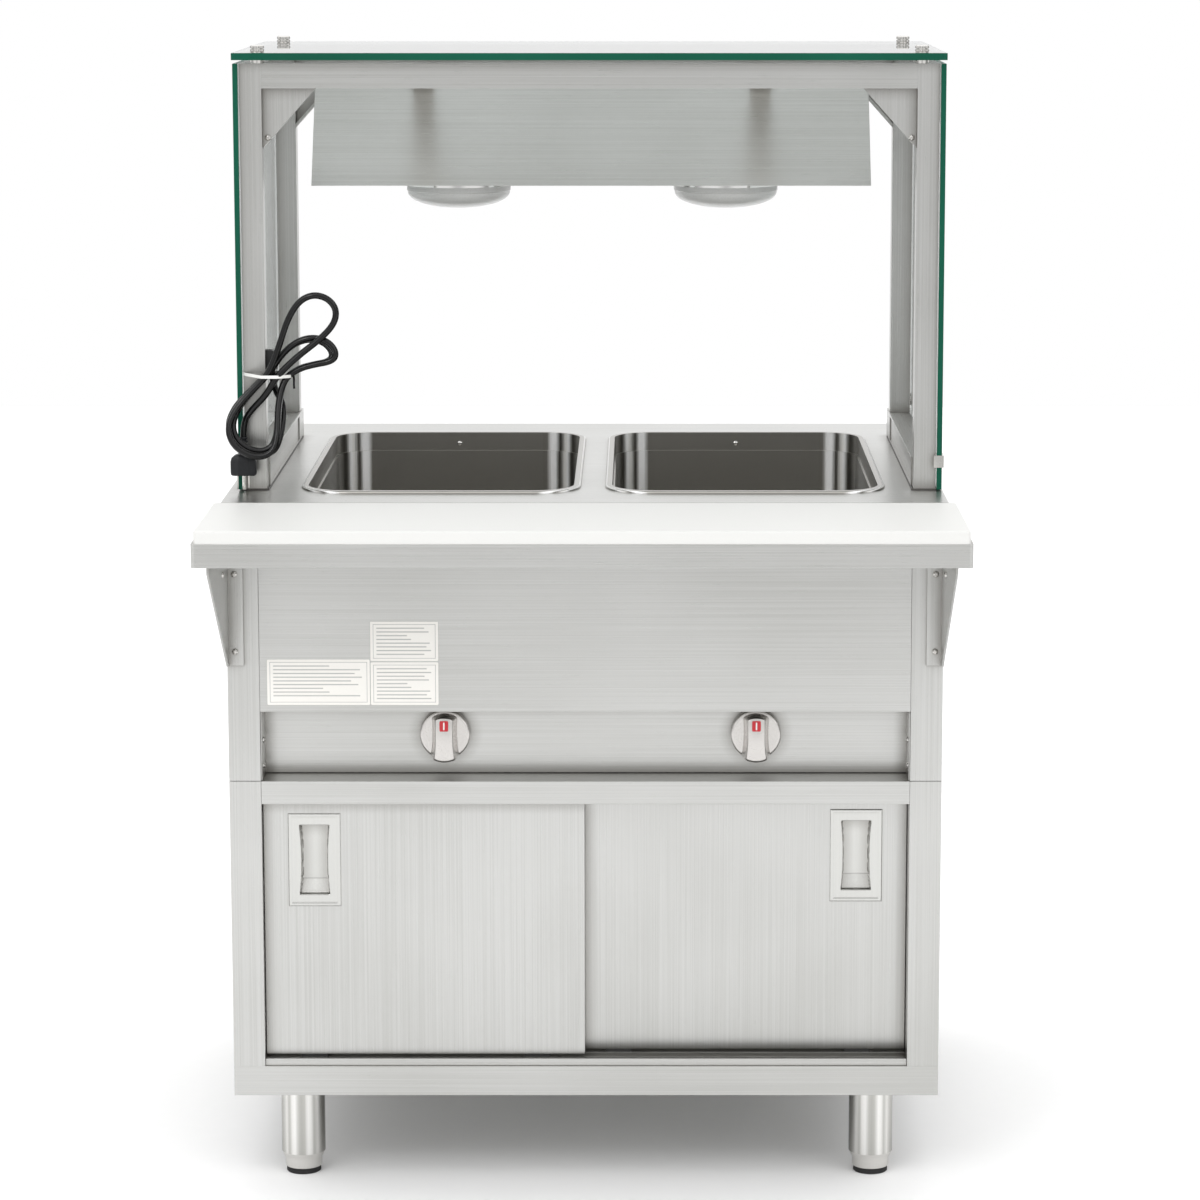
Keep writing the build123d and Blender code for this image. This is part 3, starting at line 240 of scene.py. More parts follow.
def stainless(name, grain, light, shade, roughness, bump, paintedCornerShade=1.0):
    # 304 stainless with a belt finish: long fine scratches that stretch reflections across them
    s = stainlessLook
    material, tree, shader, coords = startMaterial(name)
    scratches = streaks(tree, coords, grain, s["grainLength"], s["grainWidth"], Roughness=0.6)
    patches = addNode(
        tree, "TexNoise", {"Scale": 1 / (s["patch"] * mm), "Detail": 2.0},
        {"Vector": coords["Object"]},
    )
    lanes = streaks(tree, coords, grain, s["laneLength"], s["laneWidth"])
    both = addNode(tree, "Math", links={0: patches.outputs["Fac"], 1: lanes}, operation="ADD")
    middle = {"From Min": 0.75, "From Max": 1.25}
    tone = addNode(tree, "MapRange", middle, {"Value": both.outputs[0]})
    colour = colourMix(tree, light, shade, tone.outputs[0])
    # painted shade: where ambient occlusion finds nearby surfaces, the colour darkens towards the
    # painted corner colour
    corner = addNode(tree, "AmbientOcclusion", {"Distance": s["paintedCornerShade"] * mm}, samples=6)
    cornerShadeShare = addNode(
        tree, "MapRange", {"From Min": 1.0, "From Max": 0.45, "To Max": paintedCornerShade},
        {"Value": corner.outputs["AO"]},
    )
    cornerShadeLinks = {0: cornerShadeShare.outputs[0], 6: colour}
    cornerShadeMix = addNode(tree, "Mix", {7: toLinear(s["paintedCornerColour"])}, cornerShadeLinks, data_type="RGBA")
    least, most = roughness - s["glossSwing"], roughness + s["glossSwing"]
    gloss = addNode(
        tree, "MapRange", {"From Min": 0.25, "From Max": 0.75, "To Min": least, "To Max": most},
        {"Value": scratches},
    )
    edge = addNode(tree, "Bevel", {"Radius": s["edge"] * mm}, samples=4)
    relief = addNode(
        tree, "Bump", {"Strength": bump, "Distance": s["depth"] * mm},
        {"Height": scratches, "Normal": edge.outputs[0]},
    )
    colour = cornerShadeMix.outputs[2]
    made = {"Base Color": colour, "Roughness": gloss.outputs[0], "Normal": relief.outputs[0]}
    fillNode(tree, shader, {"Metallic": 1.0}, made)
    return material


def colourMix(tree, first, second, factor):
    values = {6: toLinear(first), 7: toLinear(second)}
    return addNode(tree, "Mix", values, {0: factor}, data_type="RGBA").outputs[2]


def speckled(name, light, dark, roughness, grit, bump, metallic=0.0, ior=1.5, coat=0.0):
    # cast, moulded and painted finishes: two close tones, and a fine grit in the gloss
    material, tree, shader, coords = startMaterial(name)
    noise = addNode(
        tree, "TexNoise", {"Scale": 1 / (grit * mm), "Detail": 4.0, "Roughness": 0.6},
        {"Vector": coords["Object"]},
    )
    colour = colourMix(tree, light, dark, noise.outputs["Fac"])
    least, most = roughness * 0.85, roughness * 1.15
    gloss = addNode(
        tree, "MapRange", {"From Min": 0.3, "From Max": 0.7, "To Min": least, "To Max": most},
        {"Value": noise.outputs["Fac"]},
    )
    depth = {"Strength": bump, "Distance": stainlessLook["depth"] * mm}
    relief = addNode(tree, "Bump", depth, {"Height": noise.outputs["Fac"]})
    if metallic < 1:
        shader.inputs["IOR"].default_value = ior
    made = {"Base Color": colour, "Roughness": gloss.outputs[0], "Normal": relief.outputs[0]}
    fillNode(tree, shader, {"Metallic": metallic, "Coat Weight": coat}, made)
    return material


drawnLook = {
    "marks": (400.0, 0.6),    # length and width of the faint upright drawing marks
    # painted light against how far the sheet faces sideways: rear wall, the painted bright and dark
    # reflection bands of a corner, side wall
    "wellPaintedLight": (
        (0.0, "#a5a39e"), (0.12, "#a19f9a"), (0.24, "#ffffff"), (0.36, "#ffffff"),
        (0.47, "#7d7b76"), (0.6, "#f3f2ef"), (0.69, "#ffffff"), (0.81, "#83817c"), (1.0, "#aaa8a3"),
    ),
    # painted upright reflections and shade round a leg tube, against how far it faces sideways
    "tubePaintedLight": (
        (0.0, "#b4b3af"), (0.14, "#bebdb9"), (0.3, "#eeedeb"), (0.44, "#e6e5e2"), (0.56, "#bab9b5"),
        (0.7, "#dddcd9"), (0.84, "#b9b8b4"), (1.0, "#8d8b87"),
    ),
}


def facing(tree, coords, axis):
    # how squarely the surface looks along an axis of its piece, from 0 to 1
    parts = addNode(tree, "SeparateXYZ", links={"Vector": coords["Normal"]})
    return addNode(tree, "Math", links={0: parts.outputs[axis]}, operation="ABSOLUTE").outputs[0]


def drawnSteel(name, paintedLightBands, gloss, bandGloss, spread):
    # 304 drawn over a tool: upright marks, and painted bands of reflection and shade where the
    #                        sheet turns
    material, tree, shader, coords = startMaterial(name)
    shift = addNode(
        tree, "MapRange", {"From Min": 0.3, "From Max": 0.7, "To Min": -spread, "To Max": spread},
        {"Value": streaks(tree, coords, "z", *drawnLook["marks"])},
    )
    across = {0: facing(tree, coords, "X"), 1: shift.outputs[0]}
    moved = addNode(tree, "Math", links=across, operation="ADD")
    ramp = addNode(tree, "ValToRGB", links={"Fac": moved.outputs[0]})
    setStops(ramp, [(spot, toLinear(tone)) for spot, tone in paintedLightBands])
    # the bright bands scatter more, so that they also gather light from straight above
    scatter = addNode(
        tree, "MapRange", {"From Min": 0.4, "From Max": 1.0, "To Min": gloss, "To Max": bandGloss},
        {"Value": ramp.outputs["Color"]},
    )
    made = {"Base Color": ramp.outputs["Color"], "Roughness": scatter.outputs[0]}
    fillNode(tree, shader, {"Metallic": 1.0}, made)
    return material


glassLook = {
    "face": "#eef2f1",      # toughened float glass is nearly clear through its faces
    "edge": "#064a38",      # and dark green along its edges, where one looks through its width
    "edgeLight": "#0d5f49",
    "edgeBand": 140.0,      # slow change along an edge
    "levels": {             # on a face and on an edge
        "Transmission Weight": (1.0, 0.15),
        "Roughness": (0.0, 0.3),
        "Specular IOR Level": (0.5, 0.12),
    },
}


def toughenedGlass(name, faceAxis):
    # soda-lime float glass: smooth clear faces, satin ground edges
    material, tree, shader, coords = startMaterial(name)
    squarely = facing(tree, coords, faceAxis)
    edge = addNode(tree, "Math", {1: 0.9}, {0: squarely}, operation="LESS_THAN")
    band = addNode(
        tree, "TexNoise", {"Scale": 1 / (glassLook["edgeBand"] * mm), "Detail": 1.0},
        {"Vector": coords["Object"]},
    )
    green = colourMix(tree, glassLook["edge"], glassLook["edgeLight"], band.outputs["Fac"])
    tint, sides = {6: toLinear(glassLook["face"])}, {0: edge.outputs[0], 7: green}
    colour = addNode(tree, "Mix", tint, sides, data_type="RGBA").outputs[2]
    made = {"Base Color": colour}
    for socket, (face, rim) in glassLook["levels"].items():
        span = {"To Min": face, "To Max": rim}
        made[socket] = addNode(tree, "MapRange", span, {"Value": edge.outputs[0]}).outputs[0]
    fillNode(tree, shader, {"IOR": 1.5}, made)
    return material


# 304 sheet, belt ground along x, y or z: a soft grey that is nearly neutral
steelAlong = {
    grain: stainless("brushedStainless" + grain.upper(), grain, "#cacac8", "#bbbbb8", 0.3, 0.2)
    for grain in "xyz"
}
# drawn 304: darker smooth well walls (painted shade) with painted bright corner reflections, and
# leg tubes with painted upright reflections
deepDrawnSteel = drawnSteel("deepDrawnStainless", drawnLook["wellPaintedLight"], 0.28, 0.8, 0.03)
drawnTube = drawnSteel("drawnStainlessTube", drawnLook["tubePaintedLight"], 0.2, 0.25, 0.03)
# pressed 304, bright from the tool; painted shade darkens its inside corners
pressedPull = stainless("pressedPullStainless", "z", "#cacac7", "#c3c3c0", 0.14, 0.06, paintedCornerShade=0.9)
# turned and polished 304: clear, slightly warm reflections
polishedSteel = speckled("polishedStainless", "#d9d8d5", "#cfcdc9", 0.12, 2.0, 0.02, metallic=1.0)
# nickel plate on die-cast zinc, blasted satin: warm, with soft glints
satinNickel = speckled("satinNickelOnZinc", "#d3d0cd", "#c4c1be", 0.26, 0.8, 0.05, metallic=1.0)
# zinc-plated mild steel: bluish and cloudy
zincSteel = speckled("zincPlatedSteel", "#a9abad", "#8f9193", 0.38, 3.0, 0.1, metallic=1.0)
# stoved black enamel on pipe: half gloss with a slight orange peel
blackPipePaint = speckled("blackPipeEnamel", "#2c2c2d", "#222223", 0.4, 1.5, 0.2, coat=0.2)
# machined brass: yellow, with fine turning marks
machinedBrass = speckled("machinedBrass", "#c79b4b", "#b3893f", 0.25, 1.2, 0.1, metallic=1.0)
# pressed high-density polyethylene: milky and waxy
boardPlastic = speckled("cuttingBoardHdpe", "#dddddb", "#d8d8d5", 0.45, 1.6, 0.12, ior=1.54)
# extruded soft PVC: deep black with a wet gloss; the moulded plug is greyer and duller
cordVinyl = speckled("blackCordPvc", "#080809", "#060606", 0.14, 1.2, 0.06, ior=1.4)
plugVinyl = speckled("mouldedPlugPvc", "#191b1f", "#131517", 0.38, 0.9, 0.2, ior=1.4)
# polythene over a wire: plain white and slightly waxy
tiePlastic = speckled("tiePolythene", "#f2f2ef", "#e6e6e2", 0.4, 1.0, 0.1, ior=1.51)
# moulded polyamide: even dark grey, satin
nylon = speckled("glideNylon", "#3b3b3a", "#323231", 0.4, 1.0, 0.1, ior=1.53)
glandPlastic = speckled("glandPolyamide", "#1a1a1b", "#121213", 0.45, 1.0, 0.2, ior=1.53)
# a dull dark strip that stands for the shadow in the gap at the guard's foot: painted shadow
gapShadowPaint = speckled("paintedGapShadow", "#4a4744", "#3e3c39", 0.5, 1.5, 0.2, ior=1.42)
# moulded nitrile rubber: black without gloss
padRubber = speckled("footRubber", "#1c1c1c", "#131313", 0.75, 0.8, 0.4, ior=1.52)
# glazed porcelain: cream white under a clear glaze
porcelain = speckled("glazedPorcelain", "#ece8df", "#e2ded4", 0.15, 4.0, 0.05, ior=1.55, coat=0.4)
# fired enamel in the knob's inlay: glossy red, and satin white for its line
redEnamel = speckled("redEnamel", "#c4202c", "#b31b27", 0.25, 0.8, 0.05, coat=0.5)
whiteEnamel = speckled("whiteEnamel", "#f2f0ee", "#e8e6e4", 0.3, 0.8, 0.05)
# lamp: vapour-coated reflector like a mirror, dimpled front glass, nickelled cap
silverCoat = speckled("aluminisedReflector", "#e2e2e0", "#d4d4d2", 0.08, 3.0, 0.03, metallic=1.0)
pressedGlass = speckled("pressedLampGlass", "#e0e1df", "#b8b9b7", 0.3, 1.6, 1.0, ior=1.5, coat=0.4)
lampCap = speckled("nickelledBrassCap", "#b9b4a8", "#a7a295", 0.3, 1.0, 0.1, metallic=1.0)
# vinyl film and its grey print: warm white, satin
labelVinyl = speckled("labelVinylFilm", "#f5f3ee", "#f1efea", 0.42, 3.0, 0.02, ior=1.46)
labelInk = speckled("greyPrintInk", "#b9b9b7", "#afafad", 0.5, 1.0, 0.0, ior=1.48)
# toughened float glass: clear faces and green edges
sideGlass = toughenedGlass("toughenedSideGlass", "X")
topGlass = toughenedGlass("toughenedTopGlass", "Z")
print("materials made")

# which pieces are made of which; a grain runs along the length of its piece
nodesByMaterial = (
    (steelAlong["x"], "bottom_shelf back_panels middle_shelf control_panel front_panel"),
    (steelAlong["x"], "door_tracks countertop board_tray guard_top_rails lamp_housing"),
    (steelAlong["y"], "base_channels left_side_panels right_side_panels guard_base_rails"),
    (steelAlong["z"], "lower_posts upper_posts shelf_brackets guard_posts guard_gussets"),
    (steelAlong["z"], "left_door right_door left_door_pull right_door_pull"),
    (drawnTube, "leg_tubes"),
    (deepDrawnSteel, "left_well right_well"),
    (polishedSteel, "leg_collars screw_heads glass_fixings lamp_hangers"),
    (polishedSteel, "foot_front_left foot_front_right foot_rear_left foot_rear_right"),
    (padRubber, "foot_pad_front_left foot_pad_front_right foot_pad_rear_left foot_pad_rear_right"),
    (zincSteel, "left_burner right_burner burner_supports"),
    (blackPipePaint, "gas_manifold"),
    (machinedBrass, "gas_valves left_valve_stem right_valve_stem"),
    (boardPlastic, "cutting_board"),
    (sideGlass, "left_side_glass right_side_glass"),
    (topGlass, "top_glass"),
    (porcelain, "lamp_sockets"),
    (silverCoat, "heat_lamps"),
    (glandPlastic, "cord_gland"),
    (cordVinyl, "lamp_cord cord_hank"),
    (plugVinyl, "plug"),
    (tiePlastic, "cord_tie"),
    (nylon, "left_door_glides right_door_glides"),
    (satinNickel, "left_knob right_knob"),
)
materialOf = {name: material for material, names in nodesByMaterial for name in names.split()}
for nodeName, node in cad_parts.items():
    node.data.materials.clear()
    node.data.materials.append(materialOf[nodeName])
print("frame dressed")


# Lamp cord

cordRoute = {
    "diameter": 7.5,
    "exit": (-360.3, 106.5, 939.0),
    "free": [(-360.3, 106.5, 918.5), (-343.8, 92.0, 897.0)],
    "waist": (-352.0, 92.5, 934.5),    # where the tie holds the hank
    "waistTilt": 32.0,                 # tilts in degrees from upright
    "strandPitch": 8.6,
    "layerPitch": 9.2,
    "climb": 60.0,                     # run over which a strand changes its layer
    "lowerTilt": 19.6,
    # length and half width of each loop, and the tilt of an upper one
    "lowerLobes": [(92.0, 62.0), (88.0, 50.0), (93.0, 56.0)],
    "upperLobes": [(68.0, 25.0, 66.0), (73.0, 27.0, 66.0), (108.0, 50.0, 34.0)],
    "lowerSlope": 0.30,                # forward lean, as a share of the height
    "upperSlope": 0.06,
    "slopeBlend": 35.0,
    "lobePower": 1.5,
    "pointsPerLobe": 10,
    "start": 0.25,                     # where on the first loop the hank begins
    "toPlug": [(-363.0, 65.0, 914.0), (-383.0, 70.0, 894.0), (-391.0, 76.0, 880.0)],
    "plugTop": (-391.5, 76.0, 863.0),
    "length": 1.40,                    # m
}


def smoothStep(value):
    value = min(max(value, 0.0), 1.0)
    return value * value * (3 - 2 * value)


def hankPoint(turn):
    # whole numbers are crossings of the waist; even spans hang down, odd ones stand up
    r = cordRoute
    index = min(int(turn), 2 * len(r["lowerLobes"]) - 1)
    angle = math.pi * (turn - index)
    pair = index // 2
    half = r["strandPitch"]
    if index % 2 == 0:
        length, width = r["lowerLobes"][pair]
        tilt, sign = r["lowerTilt"], -1
    else:
        length, width, tilt = r["upperLobes"][pair]
        sign = 1
        if pair == len(r["upperLobes"]) - 1:
            half *= 1 - smoothStep(angle / math.pi)
    across = -sign * math.cos(angle) * (half + width * max(math.sin(angle), 0.0) ** r["lobePower"])
    along = length * math.sin(angle)
    lean = math.radians(r["waistTilt"] + (tilt - r["waistTilt"]) * math.sin(angle))
    waistX, waistBack, waistHeight = r["waist"]
    x = waistX + sign * along * math.sin(lean) + across * math.cos(lean)
    z = waistHeight + sign * along * math.cos(lean) - across * math.sin(lean)
    layer = pair + 1
    if index % 2 == 0 and angle < math.pi / 2:
        layer = pair + smoothStep(along / r["climb"])
    depth = waistHeight - z
    # the strands lean forward, more below the waist than above it
    tip, bend = (r["lowerSlope"] - r["upperSlope"]) / 2, (r["lowerSlope"] + r["upperSlope"]) / 2
    before = tip * depth + bend * (math.hypot(depth, r["slopeBlend"]) - r["slopeBlend"])
    return (x, waistBack - layer * r["layerPitch"] - before, z)


def makeCord():
    r = cordRoute
    step = 1 / r["pointsPerLobe"]
    first = math.ceil(r["start"] / step)
    last = 2 * len(r["lowerLobes"]) * r["pointsPerLobe"]
    hank = [hankPoint(count * step) for count in range(first, last + 1)]
    route = [r["exit"], *r["free"], *hank, *r["toPlug"], r["plugTop"]]
    fine = {"bevel_resolution": 5, "resolution_u": 6}
    cord = tubeCurve("lampCord", route, r["diameter"] / 2, cordVinyl, **fine)
    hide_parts("lamp_cord", "cord_hank")
    return cord


plugShape = {
    "middle": (-391.5, 76.0),
    "bottom": 820.0,
    "height": 24.0,
    "width": 30.0,
    "depth": 18.0,
    "squareWide": 0.45,      # powers that fill out the corners of its oblong
    "squareDeep": 0.5,
    "reliefHeight": 20.0,
    "reliefWide": 6.6,
    "reliefSlim": 5.2,
    "neck": 3.9,
    "ribs": 5,
    "bladeLength": 16.0,
    "bladeWidth": 6.4,
    "bladeThick": 1.5,
    "bladeSpacing": 12.7,
    "groundRadius": 2.4,
    "groundLength": 18.0,
    "pinOffset": 4.5,
}


def plugRing(bm, z, width, depth, groove):
    # rounded oblong with two upright finger grooves on each broad side
    ring = []
    middleX, middleT = plugShape["middle"]
    for cosine, sine in circle(1.0, 72):
        x = math.copysign(abs(cosine) ** plugShape["squareWide"], cosine) * width / 2
        y = math.copysign(abs(sine) ** plugShape["squareDeep"], sine) * depth / 2
        dip = groove * math.cos(x / (width / 2) * math.pi * 1.5) ** 2 if abs(sine) > 0.5 else 0.0
        y -= math.copysign(dip, sine)
        ring.append(bm.verts.new(place(middleX + x, middleT + y, z)))
    return ring


def makePlug():
    p = plugShape
    low, high = p["bottom"], p["bottom"] + p["height"]
    bm = bmesh.new()
    # height, shares of the width and depth, and how deep the grooves are
    sections = [
        (low, 0.90, 0.86, 0.0), (low + 1.2, 0.98, 0.97, 0.5), (low + 4, 1.0, 1.0, 1.0),
        (high - 8, 1.0, 1.0, 1.0), (high - 4, 0.93, 0.9, 0.7), (high - 1.2, 0.72, 0.78, 0.2),
        (high, 0.58, 0.66, 0.0),
    ]
    wide, deep = p["width"], p["depth"]
    joinRings(bm, [plugRing(bm, z, wide * w, deep * d, groove) for z, w, d, groove in sections])
    profile = [(0.0, -1.0), (p["reliefWide"], -1.0)]
    spacing, neck = p["reliefHeight"] / p["ribs"], p["neck"]
    for rib in range(p["ribs"]):
        share = rib / (p["ribs"] - 1)
        radius = p["reliefWide"] + (p["reliefSlim"] - p["reliefWide"]) * share
        reaches = (neck, neck, radius - 0.3, radius, radius, radius - 0.3)
        for reach, share in zip(reaches, (0.15, 0.4, 0.5, 0.62, 0.85, 0.97)):
            profile.append((reach, spacing * (rib + share)))
    profile += [(neck, p["reliefHeight"]), (0.0, p["reliefHeight"])]
    turnedRings(bm, profile, place(*p["middle"], high), (0, 0, 1), 40)
    body = finishPiece(bm, "cordPlug", [plugVinyl], "plug", 40)
    pins = bmesh.new()
    middleX, middleT = p["middle"]
    for side in (-1, 1):
        x = middleX + side * p["bladeSpacing"] / 2
        half, wide = p["bladeThick"] / 2, p["bladeWidth"] / 2
        t = middleT - p["pinOffset"]
        tip = -p["bladeLength"]
        outline = [(-wide, 0), (wide, 0), (wide, tip + 2), (wide - 1.5, tip)]
        outline += [(1.5 - wide, tip), (-wide, tip + 2)]
        joinRings(pins, [
            [pins.verts.new(place(x + shift, t + a, low + 0.5 + b)) for a, b in outline]
            for shift in (-half, half)
        ])
    radius, tip = p["groundRadius"], -p["groundLength"]
    ground = [(0.0, 0.5), (radius, 0.5), (radius, tip + 2.0), (radius * 0.7, tip + 0.5), (0.0, tip)]
    turnedRings(pins, ground, place(middleX, middleT + p["pinOffset"], low), (0, 0, 1), 24)
    return body, finishPiece(pins, "plugBlades", [polishedSteel])


cord = makeCord()
plugBody, plugBlades = makePlug()
print("cord laid")


# Cord tie: a white ribbon round the guard post and the hank, with its dark end sticking out

tieShape = {
    "width": 3.5,
    "thick": 0.6,
    "height": 934.5,
    "corners": [
        (-392.3, 93.1), (-370.0, 62.3), (-367.8, 60.9), (-350.0, 60.9),
        (-334.9, 70.2), (-334.9, 96.3), (-366.0, 119.9), (-392.3, 119.9),
    ],
    "round": 0.22,
    "tailRadius": 1.3,
    "tail": [
        (-334.0, 84.0, 934.5), (-332.6, 79.0, 930.5), (-333.0, 76.5, 925.0), (-332.4, 75.5, 919.5),
    ],
}


def roundedCorners(points, share):
    # each corner becomes a short curve between two points on its runs
    result = []
    for step, corner in enumerate(points):
        here = Vector(corner)
        before, after = Vector(points[step - 1]), Vector(points[(step + 1) % len(points)])
        first, last = here.lerp(before, share), here.lerp(after, share)
        for part in range(7):
            f = part / 6
            spot = first * (1 - f) ** 2 + here * 2 * f * (1 - f) + last * f * f
            result.append((spot.x, spot.y))
    return result


def makeTie():
    s = tieShape
    bm = bmesh.new()
    points = roundedCorners(s["corners"], s["round"])
    rings = []
    for step, (x, t) in enumerate(points):
        before, after = points[step - 1], points[(step + 1) % len(points)]
        run = Vector((after[0] - before[0], after[1] - before[1])).normalized()
        ring = []
        for share, up in ((-0.5, -0.5), (0.5, -0.5), (0.5, 0.5), (-0.5, 0.5)):
            out = s["thick"] * share
            spot = place(x + run.y * out, t - run.x * out, s["height"] + s["width"] * up)
            ring.append(bm.verts.new(spot))
        rings.append(ring)
    layFaces(bm, rings + rings[:1])
    finishPiece(bm, "cordTie", [tiePlastic], "cord_tie", 50)
    tail = tubeCurve("cordTieTail", s["tail"], s["tailRadius"], cordVinyl)


makeTie()
print("tie made")


# Knobs: a die-cast face with a raised grip that is slim in the middle and wider at its foot

knobShape = {
    "height": 525.5,
    "places": {"left": -161.5, "right": 195.0},
    "radius": 28.5,
    "back": 43.0,          # set-back of the skirt's rear edge
    "skirt": 12.0,         # depth of the skirt
    "grip": 21.5,          # rise of the grip before the skirt's face
    "gripTop": 9.6,        # half widths from top to foot
    "gripWaist": 9.0,
    "gripFoot": 12.0,
    "ridgeDrop": 0.10,     # share of the rise lost towards the ends
    "round": 0.8,          # rise lost from the middle to the sides
    "topEnd": (3.2, 2.2),  # set-in and width of the slope at the upper end
    "flank": 5.5,          # width over which the grip's side falls away
    "rim": 3.0,
    "wall": 2.2,
    "crown": 3.0,          # thickness of the casting behind the skirt's face
    # half width, half height and rise of the red inlay and its white line
    "inlay": (5.0, 6.0, 0.25),
    "pointer": (0.8, 4.32, 0.4),
    "inlayUp": 14.5,
    "inlaySunk": 0.3,
    "cornerCut": 0.12,
    "rings": 64,
    "segments": 144,
}


def gripHalf(up):
    s = knobShape
    share = up / s["radius"]
    if share > 0:
        return s["gripWaist"] + (s["gripTop"] - s["gripWaist"]) * share ** 2
    return s["gripWaist"] + (s["gripFoot"] - s["gripWaist"]) * share ** 2


def knobRise(across, up):
    # how far the knob's front stands before the skirt's face
    s = knobShape
    distance = math.hypot(across, up)
    beside = (abs(across) - gripHalf(up)) / s["flank"]
    fall = 1 - smoothStep(beside)
    ridge = s["grip"] * (1 - s["ridgeDrop"] * (up / s["radius"]) ** 2)
    crown = ridge - s["round"] * (across / gripHalf(up)) ** 2 * fall
    setIn, slope = s["topEnd"]
    topEnd = smoothStep((s["radius"] - setIn - distance) / slope) if up > 0 else 1.0
    rise = crown * fall * topEnd
    over = max(distance - (s["radius"] - s["rim"]), 0.0)
    return rise - over ** 2 / (2 * s["rim"]) * (1.0 if rise < 2 else 1.6)


def gridRim(grid):
    # neighbouring pairs round the grid's edge
    rim = grid[0] + [row[-1] for row in grid[1:]] + grid[-1][-2::-1]
    rim += [row[0] for row in grid[-2:0:-1]]
    return [(rim[step], rim[(step + 1) % len(rim)]) for step in range(len(rim))]


def makeKnob(side):
    s = knobShape
    middleX, middleZ = s["places"][side], s["height"]
    face = s["back"] - s["skirt"]
    bm = bmesh.new()
    rings = [[bm.verts.new(place(middleX, face - knobRise(0, 0), middleZ))]]
    sections = [(s["radius"] * (ring / s["rings"]), None) for ring in range(1, s["rings"] + 1)]
    inner = s["radius"] - s["wall"]
    sections += [(s["radius"], s["back"]), (inner, s["back"]), (inner, face + s["crown"])]
    for radius, back in sections:
        row = []
        for across, up in circle(radius, s["segments"]):
            depth = face - knobRise(across, up) if back is None else back
            row.append(bm.verts.new(place(middleX + across, depth, middleZ + up)))
        rings.append(row)
    layFaces(bm, rings)
    bm.faces.new(rings[-1])
    knob = side + "_knob"
    finishPiece(bm, side + "KnobCasting", [satinNickel], knob, 60, knob)
    makeInlay(side, middleX, middleZ, face)


def makeInlay(side, middleX, middleZ, face):
    # plain red inlay with one white pointer line, let in flush at the grip's upper end
    s = knobShape
    knob = side + "_knob"
    for name, finish, slotName in (
        ("Inlay", redEnamel, "inlay_red"), ("Pointer", whiteEnamel, "inlay_white"),
    ):
        wide, high, proud = s[name.lower()]
        bm = bmesh.new()
        grid = []
        for row in range(9):
            up = s["inlayUp"] + high * (row / 4 - 1)
            line = []
            for column in range(9):
                across = wide * (column / 4 - 1)
                corner = s["cornerCut"] if row in (0, 8) and column in (0, 8) else 0.0
                rise = knobRise(across, up) + proud
                line.append(bm.verts.new(place(
                    middleX + across * (1 - corner), face - rise, middleZ + up * (1 - corner * 0.05)
                )))
            grid.append(line)
        layFaces(bm, grid, closed=False)
        rim = [pair[0] for pair in gridRim(grid)]
        behind = Vector((0, (proud + s["inlaySunk"]) * mm, 0))
        sunk = [bm.verts.new(v.co + behind) for v in rim]
        for step in range(len(rim)):
            after = (step + 1) % len(rim)
            bm.faces.new([rim[step], rim[after], sunk[after], sunk[step]])
        finishPiece(bm, side + "Knob" + name, [finish], body=knob)


for side in ("left", "right"):
    makeKnob(side)
print("knobs made")


# Door pulls: a pressed plate with a raised border and a bowed cup whose foot slopes forward

pullShape = {
    "places": {"left": (-311.2, 14.0), "right": (311.2, 36.0)},    # middle, set-back of the face
    "height": 383.0,
    "halfPlate": (30.0, 54.5),
    "proud": 0.8,
    "plateSlope": 0.9,
    "border": 3.4,
    "borderSink": 0.45,
    "borderSlope": 1.0,
    "halfCup": (17.5, 41.0),
    "bow": 2.2,
    "floor": 13.0,
    "wall": 1.8,
    "rampStart": 1.4,
    "rampHeight": 15.0,
    "sheet": 0.7,
    "pitch": 0.6,
}


def pullDepth(across, up):
    # how far the pressed sheet lies behind the door's face; negative is proud of it
    s = pullShape
    inward = min(s["halfPlate"][0] - abs(across), s["halfPlate"][1] - abs(up))
    depth = -s["proud"] * smoothStep(inward / s["plateSlope"])
    depth += s["borderSink"] * smoothStep((inward - s["border"]) / s["borderSlope"])
    halfWide = s["halfCup"][0] - s["bow"] * (1 - (up / s["halfCup"][1]) ** 2)
    side = halfWide - abs(across)
    if side <= 0 or abs(up) >= s["halfCup"][1]:
        return depth
    drop = s["floor"] - depth
    rise = up + s["halfCup"][1]
    walls = smoothStep(side / s["wall"]) * smoothStep((s["halfCup"][1] - up) / s["wall"])
    slope = min(max((rise - s["rampStart"]) / s["rampHeight"], 0.0), 1.0)
    ramp = smoothStep(rise / s["rampStart"]) * (0.5 + 0.5 * slope)
    return depth + drop * min(walls, ramp)


def makePull(side):
    s = pullShape
    middleX, face = s["places"][side]
    halfWide, halfHigh = s["halfPlate"]
    columns, rows = round(2 * halfWide / s["pitch"]), round(2 * halfHigh / s["pitch"])
    bm = bmesh.new()
    layers = []
    for back in (0.0, s["sheet"]):
        grid = []
        for row in range(rows + 1):
            up = halfHigh * (2 * row / rows - 1)
            line = []
            for column in range(columns + 1):
                across = halfWide * (2 * column / columns - 1)
                depth = pullDepth(across, up)
                setBack = face + depth + back
                if back and depth < 0.05:
                    setBack = face - 0.02    # the plate's rim lies just before the door
                line.append(bm.verts.new(place(middleX + across, setBack, s["height"] + up)))
            grid.append(line)
        layers.append(grid)
        layFaces(bm, grid, closed=False)
    for first, second in zip(gridRim(layers[0]), gridRim(layers[1])):
        bm.faces.new([first[0], first[1], second[1], second[0]])
    door = side + "_door"
    finishPiece(bm, side + "DoorPull", [pressedPull], door + "_pull", 60, door)


for side in ("left", "right"):
    makePull(side)
print("pulls made")


# Screws, rivets and glass fixings

screwShape = {
    "radius": 3.7,
    "rise": 2.3,
    "dome": 3.2,         # power of its curve
    "cross": 2.1,        # half length, half width and depth of an arm of the recess
    "crossWide": 0.55,
    "crossDeep": 1.1,
}


